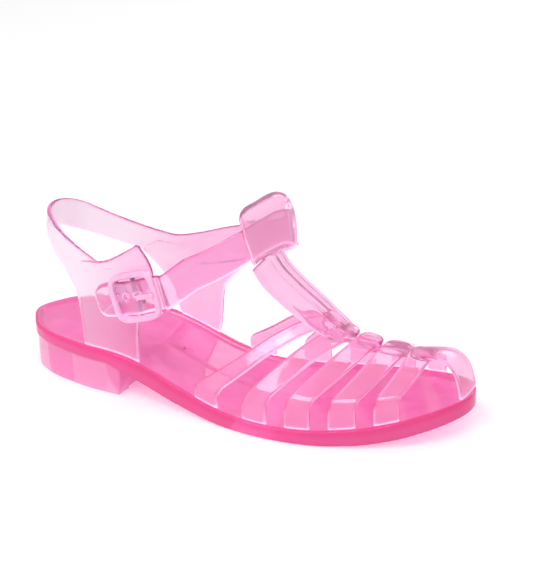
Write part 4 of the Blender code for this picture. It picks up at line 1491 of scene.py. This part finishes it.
def frame_ring():
    """Buckle frame: a round-cornered ring with a round section.

    The ring's middle line is a rounded rectangle. Its section is a rounded
    oblong whose back stands off the strap at the two side bars.
    """
    _, upper, buckle = sizes()
    roundness = 0.6
    count, around = FRAME_GRID
    middle_line = ring(buckle.long - buckle.bar, buckle.high - buckle.bar, buckle.corner, count)
    ahead = np.roll(middle_line, -1, axis=0) - np.roll(middle_line, 1, axis=0)
    side = unit(np.stack([ahead[:, 1], -ahead[:, 0]], -1))
    bed = buckle.pin / 2
    slot = upper.strap / 2 + 2 * buckle.fit
    beside = smooth(slot - BED_BEFORE, slot + BED_AFTER, np.abs(middle_line[:, 1]))
    near = -bed + (bed + upper.wall / 2 + buckle.fit) * (1 - beside)
    far = buckle.deep - bed
    cut = squared_circle(around, roundness)
    centre, run, out, up = buckle_place()
    flat = middle_line[:, None] + side[:, None] * (cut[0] * buckle.bar / 2)[None, :, None]
    depth = (near + far)[:, None] / 2 + (far - near)[:, None] / 2 * cut[1][None]
    points = centre + flat[..., :1] * run + flat[..., 1:] * up + depth[..., None] * out
    points = np.concatenate([points, points[:1]])
    faces = quads(count + 1, around, wrap=True)
    return mesh_object("buckle_frame_skin", points.reshape(-1, 3), faces)


def pin_rod():
    """Buckle pin: a round rod with domed ends.

    Its rings follow the sine of an even turn. Up to the shoulder they run
    along the rod, past it they gather in the dome, and past the crown the
    radius falls as the turn's cosine.
    """
    _, _, buckle = sizes()
    centre, run, out, up = buckle_place()
    half = buckle.high / 2 - buckle.bar - buckle.fit
    rings, around = PIN_GRID
    turn = np.linspace(-math.pi / 2, math.pi / 2, rings)[1:-1]
    z = np.abs(np.sin(turn))
    domed = z > PIN_SHOULDER
    reach = (half - (1 - z) * PIN_DOME * domed) * np.where(domed, 1, z / PIN_SHOULDER)
    along = np.sign(np.sin(turn)) * reach
    fall = np.cos(turn) / math.cos(math.asin(PIN_CROWN))
    radius = buckle.pin / 2 * np.where(z > PIN_CROWN, fall, 1.0)
    t = np.linspace(0, 2 * math.pi, around, endpoint=False)
    points = (centre + along[:, None, None] * up + radius[:, None, None]
              * (np.cos(t)[:, None] * run + np.sin(t)[:, None] * out)[None])
    return closed_loft("buckle_pin_skin", points)


def prong_bar():
    """Buckle prong: up through the strap's hole and along to the frame.

    A rounded section is carried along a line that rises out of the hole,
    bends over a quarter circle and runs level to the frame's bar. Both ends
    are blunt: the section shrinks as the root of 1 less a high power.
    """
    _, _, buckle = sizes()
    root, over, last = 0.25, 0.2, 0.0004
    roundness, bluntness, narrowest = 0.7, 12, 0.02
    rows, around = PRONG_GRID
    centre, run, out, up = buckle_place()
    level = buckle.deep - buckle.pin / 2 + buckle.fit + buckle.thick / 2
    near = stem_run()
    tip = buckle.long / 2 - buckle.bar * over
    keys = [(near, -buckle.pin * root)]
    keys += [(near + along, level * lift) for along, lift in PRONG]
    keys += [(tip - PRONG[-1][0], level), (tip - last, level)]
    line = spline(keys, rows)
    ahead = unit(np.gradient(line, axis=0))
    side = np.stack([-ahead[:, 1], ahead[:, 0]], -1)
    wide, deep = squared_circle(around, roundness)
    walk = np.linspace(0, 1, rows)
    taper = np.sqrt(np.clip(1 - ((walk - 0.5) / 0.5) ** bluntness, narrowest, 1))[:, None, None]
    flat = line[:, None] + side[:, None] * (deep * buckle.thick / 2)[None, :, None] * taper
    points = (centre + flat[..., :1] * run + flat[..., 1:] * out
              + (wide * buckle.prong / 2)[None, :, None] * taper * up)
    return closed_loft("buckle_prong_skin", points)


def moulded(name, shade, roughness):
    """Opaque moulded plastic of one shade with a faint cloud and ripple."""
    finish = Finish(name)
    places = finish.node("ShaderNodeTexCoord", output=3)
    cloud = finish.node("ShaderNodeTexNoise", Vector=places, Scale=240.0, Detail=3.0)
    deep = tuple(c * PLASTIC_DEEP for c in shade)
    base = finish.cloud(cloud, 0.3, deep, 0.7, shade)
    bump = finish.node("ShaderNodeBump", Strength=0.2, Distance=PLASTIC_RIPPLE, Height=cloud)
    body = finish.node("ShaderNodeBsdfPrincipled", Base_Color=base,
                       Roughness=cloud * 0.06 + (roughness - 0.03), Normal=bump,
                       Coat_Weight=0.4, Coat_Roughness=0.05,
                       Subsurface_Weight=0.25, Subsurface_Scale=0.002)
    finish.send(body)
    return finish.material


def steel(name, shade):
    """Bare steel with a faint grain in its gloss."""
    finish = Finish(name)
    places = finish.node("ShaderNodeTexCoord", output=3)
    cloud = finish.node("ShaderNodeTexNoise", Vector=places, Scale=900.0, Detail=4.0)
    bump = finish.node("ShaderNodeBump", Strength=0.1, Distance=STEEL_RIPPLE, Height=cloud)
    body = finish.node("ShaderNodeBsdfPrincipled", Base_Color=(*shade, 1), Metallic=1.0,
                       Roughness=cloud * 0.15 + 0.18, Normal=bump)
    finish.send(body)
    return finish.material


class SANDAL_OT_buckle(bpy.types.Operator):
    """Build the buckle's frame, pin and prong."""
    bl_idname = "sandal.buckle"
    bl_label = "Buckle"

    def execute(self, context):
        look = context.scene.sandal_look
        pieces = (
            (frame_ring(), moulded("frame_plastic", look.frame, FRAME_ROUGHNESS), "buckle_frame"),
            (pin_rod(), steel("pin_steel", look.steel), "buckle_pin"),
            (prong_bar(), moulded("prong_plastic", look.frame, PRONG_ROUGHNESS), "buckle_prong"),
        )
        for obj, material, node in pieces:
            obj.data.shade_smooth()
            dress(obj, material, node, node)
        return {"FINISHED"}


class SANDAL_OT_stage(bpy.types.Operator):
    """Build the floor, lights and camera."""
    bl_idname = "sandal.stage"
    bl_label = "Stage"

    def execute(self, context):
        scene = context.scene
        look = scene.sandal_stage
        half = FLOOR_HALF
        mesh = bpy.data.meshes.new("floor")
        mesh.from_pydata([(-half, -half, 0), (half, -half, 0), (half, half, 0), (-half, half, 0)],
                         [], [(0, 1, 2, 3)])
        floor = bpy.data.objects.new("floor", mesh)
        scene.collection.objects.link(floor)
        paint = Finish("floor_paint")
        paint.send(paint.node("ShaderNodeBsdfPrincipled", Base_Color=(*look.floor, 1),
                              Roughness=0.9, Specular_IOR_Level=0.0))
        mesh.materials.append(paint.material)
        world = bpy.data.worlds.new("room")
        scene.world = world
        world.use_nodes = True
        sky = world.node_tree.nodes["Background"]
        sky.inputs["Color"].default_value = (1.0, 1.0, 1.0, 1.0)
        sky.inputs["Strength"].default_value = look.sky
        for name, place, wide, high, power in LAMPS:
            light = bpy.data.lights.new(name, "AREA")
            light.shape = "RECTANGLE"
            light.size = wide
            light.size_y = high
            light.energy = power
            lamp = bpy.data.objects.new(name, light)
            turn = (Vector(LAMP_AIM) - Vector(place)).to_track_quat("-Z", "Y")
            lamp.matrix_world = Matrix.Translation(place) @ turn.to_matrix().to_4x4()
            scene.collection.objects.link(lamp)
        scene.view_settings.view_transform = "Standard"
        scene.collection.objects.link(self.camera(scene, look))
        return {"FINISHED"}

    def camera(self, scene, look):
        """Camera on its target, from the photograph's angle."""
        az, el, roll = look.azimuth, look.elevation, look.roll
        back = Vector((math.sin(az) * math.cos(el), -math.cos(az) * math.cos(el), math.sin(el)))
        right = Vector((math.cos(az), math.sin(az), 0.0))
        up = back.cross(right)
        side = math.cos(roll) * right + math.sin(roll) * up
        head = math.cos(roll) * up - math.sin(roll) * right
        camera = bpy.data.cameras.new("camera")
        camera.sensor_width = 36.0
        camera.sensor_fit = "HORIZONTAL"
        camera.lens = look.lens
        obj = bpy.data.objects.new("camera", camera)
        turn = Matrix((side, head, back)).transposed().to_4x4()
        obj.matrix_world = Matrix.Translation(Vector(look.target) + back * look.distance) @ turn
        scene.camera = obj
        return obj


class SANDAL_PT_panel(bpy.types.Panel):
    """Buttons and sizes of the jelly sandal."""
    bl_idname = "SANDAL_PT_panel"
    bl_label = "Jelly Sandal"
    bl_space_type = "VIEW_3D"
    bl_region_type = "UI"
    bl_category = "Jelly Sandal"

    def draw(self, context):
        for group in GROUPS:
            box = self.layout.box()
            settings = getattr(context.scene, group)
            for name in settings.bl_rna.properties.keys():
                if name not in ("rna_type", "name"):
                    box.prop(settings, name)
        for operator in OPERATORS:
            self.layout.operator(operator.bl_idname)


OPERATORS = (SANDAL_OT_sole, SANDAL_OT_cage, SANDAL_OT_collar, SANDAL_OT_buckle, SANDAL_OT_stage)
GROUPS = {
    "sandal_sole": SoleSizes,
    "sandal_upper": UpperSizes,
    "sandal_buckle": BuckleSizes,
    "sandal_look": JellyLook,
    "sandal_stage": StageLook,
}


def register():
    """Register the classes and hang the settings on the scene."""
    for cls in (*GROUPS.values(), *OPERATORS, SANDAL_PT_panel):
        bpy.utils.register_class(cls)
    for name, cls in GROUPS.items():
        setattr(bpy.types.Scene, name, PointerProperty(type=cls))


def unregister():
    """Take the settings and classes away again."""
    for name in GROUPS:
        delattr(bpy.types.Scene, name)
    for cls in (SANDAL_PT_panel, *reversed(OPERATORS), *reversed(GROUPS.values())):
        bpy.utils.unregister_class(cls)


def main():
    register()
    bpy.ops.sandal.sole()
    bpy.ops.sandal.cage()
    bpy.ops.sandal.collar()
    bpy.ops.sandal.buckle()
    bpy.ops.sandal.stage()


if __name__ == "__main__":
    main()
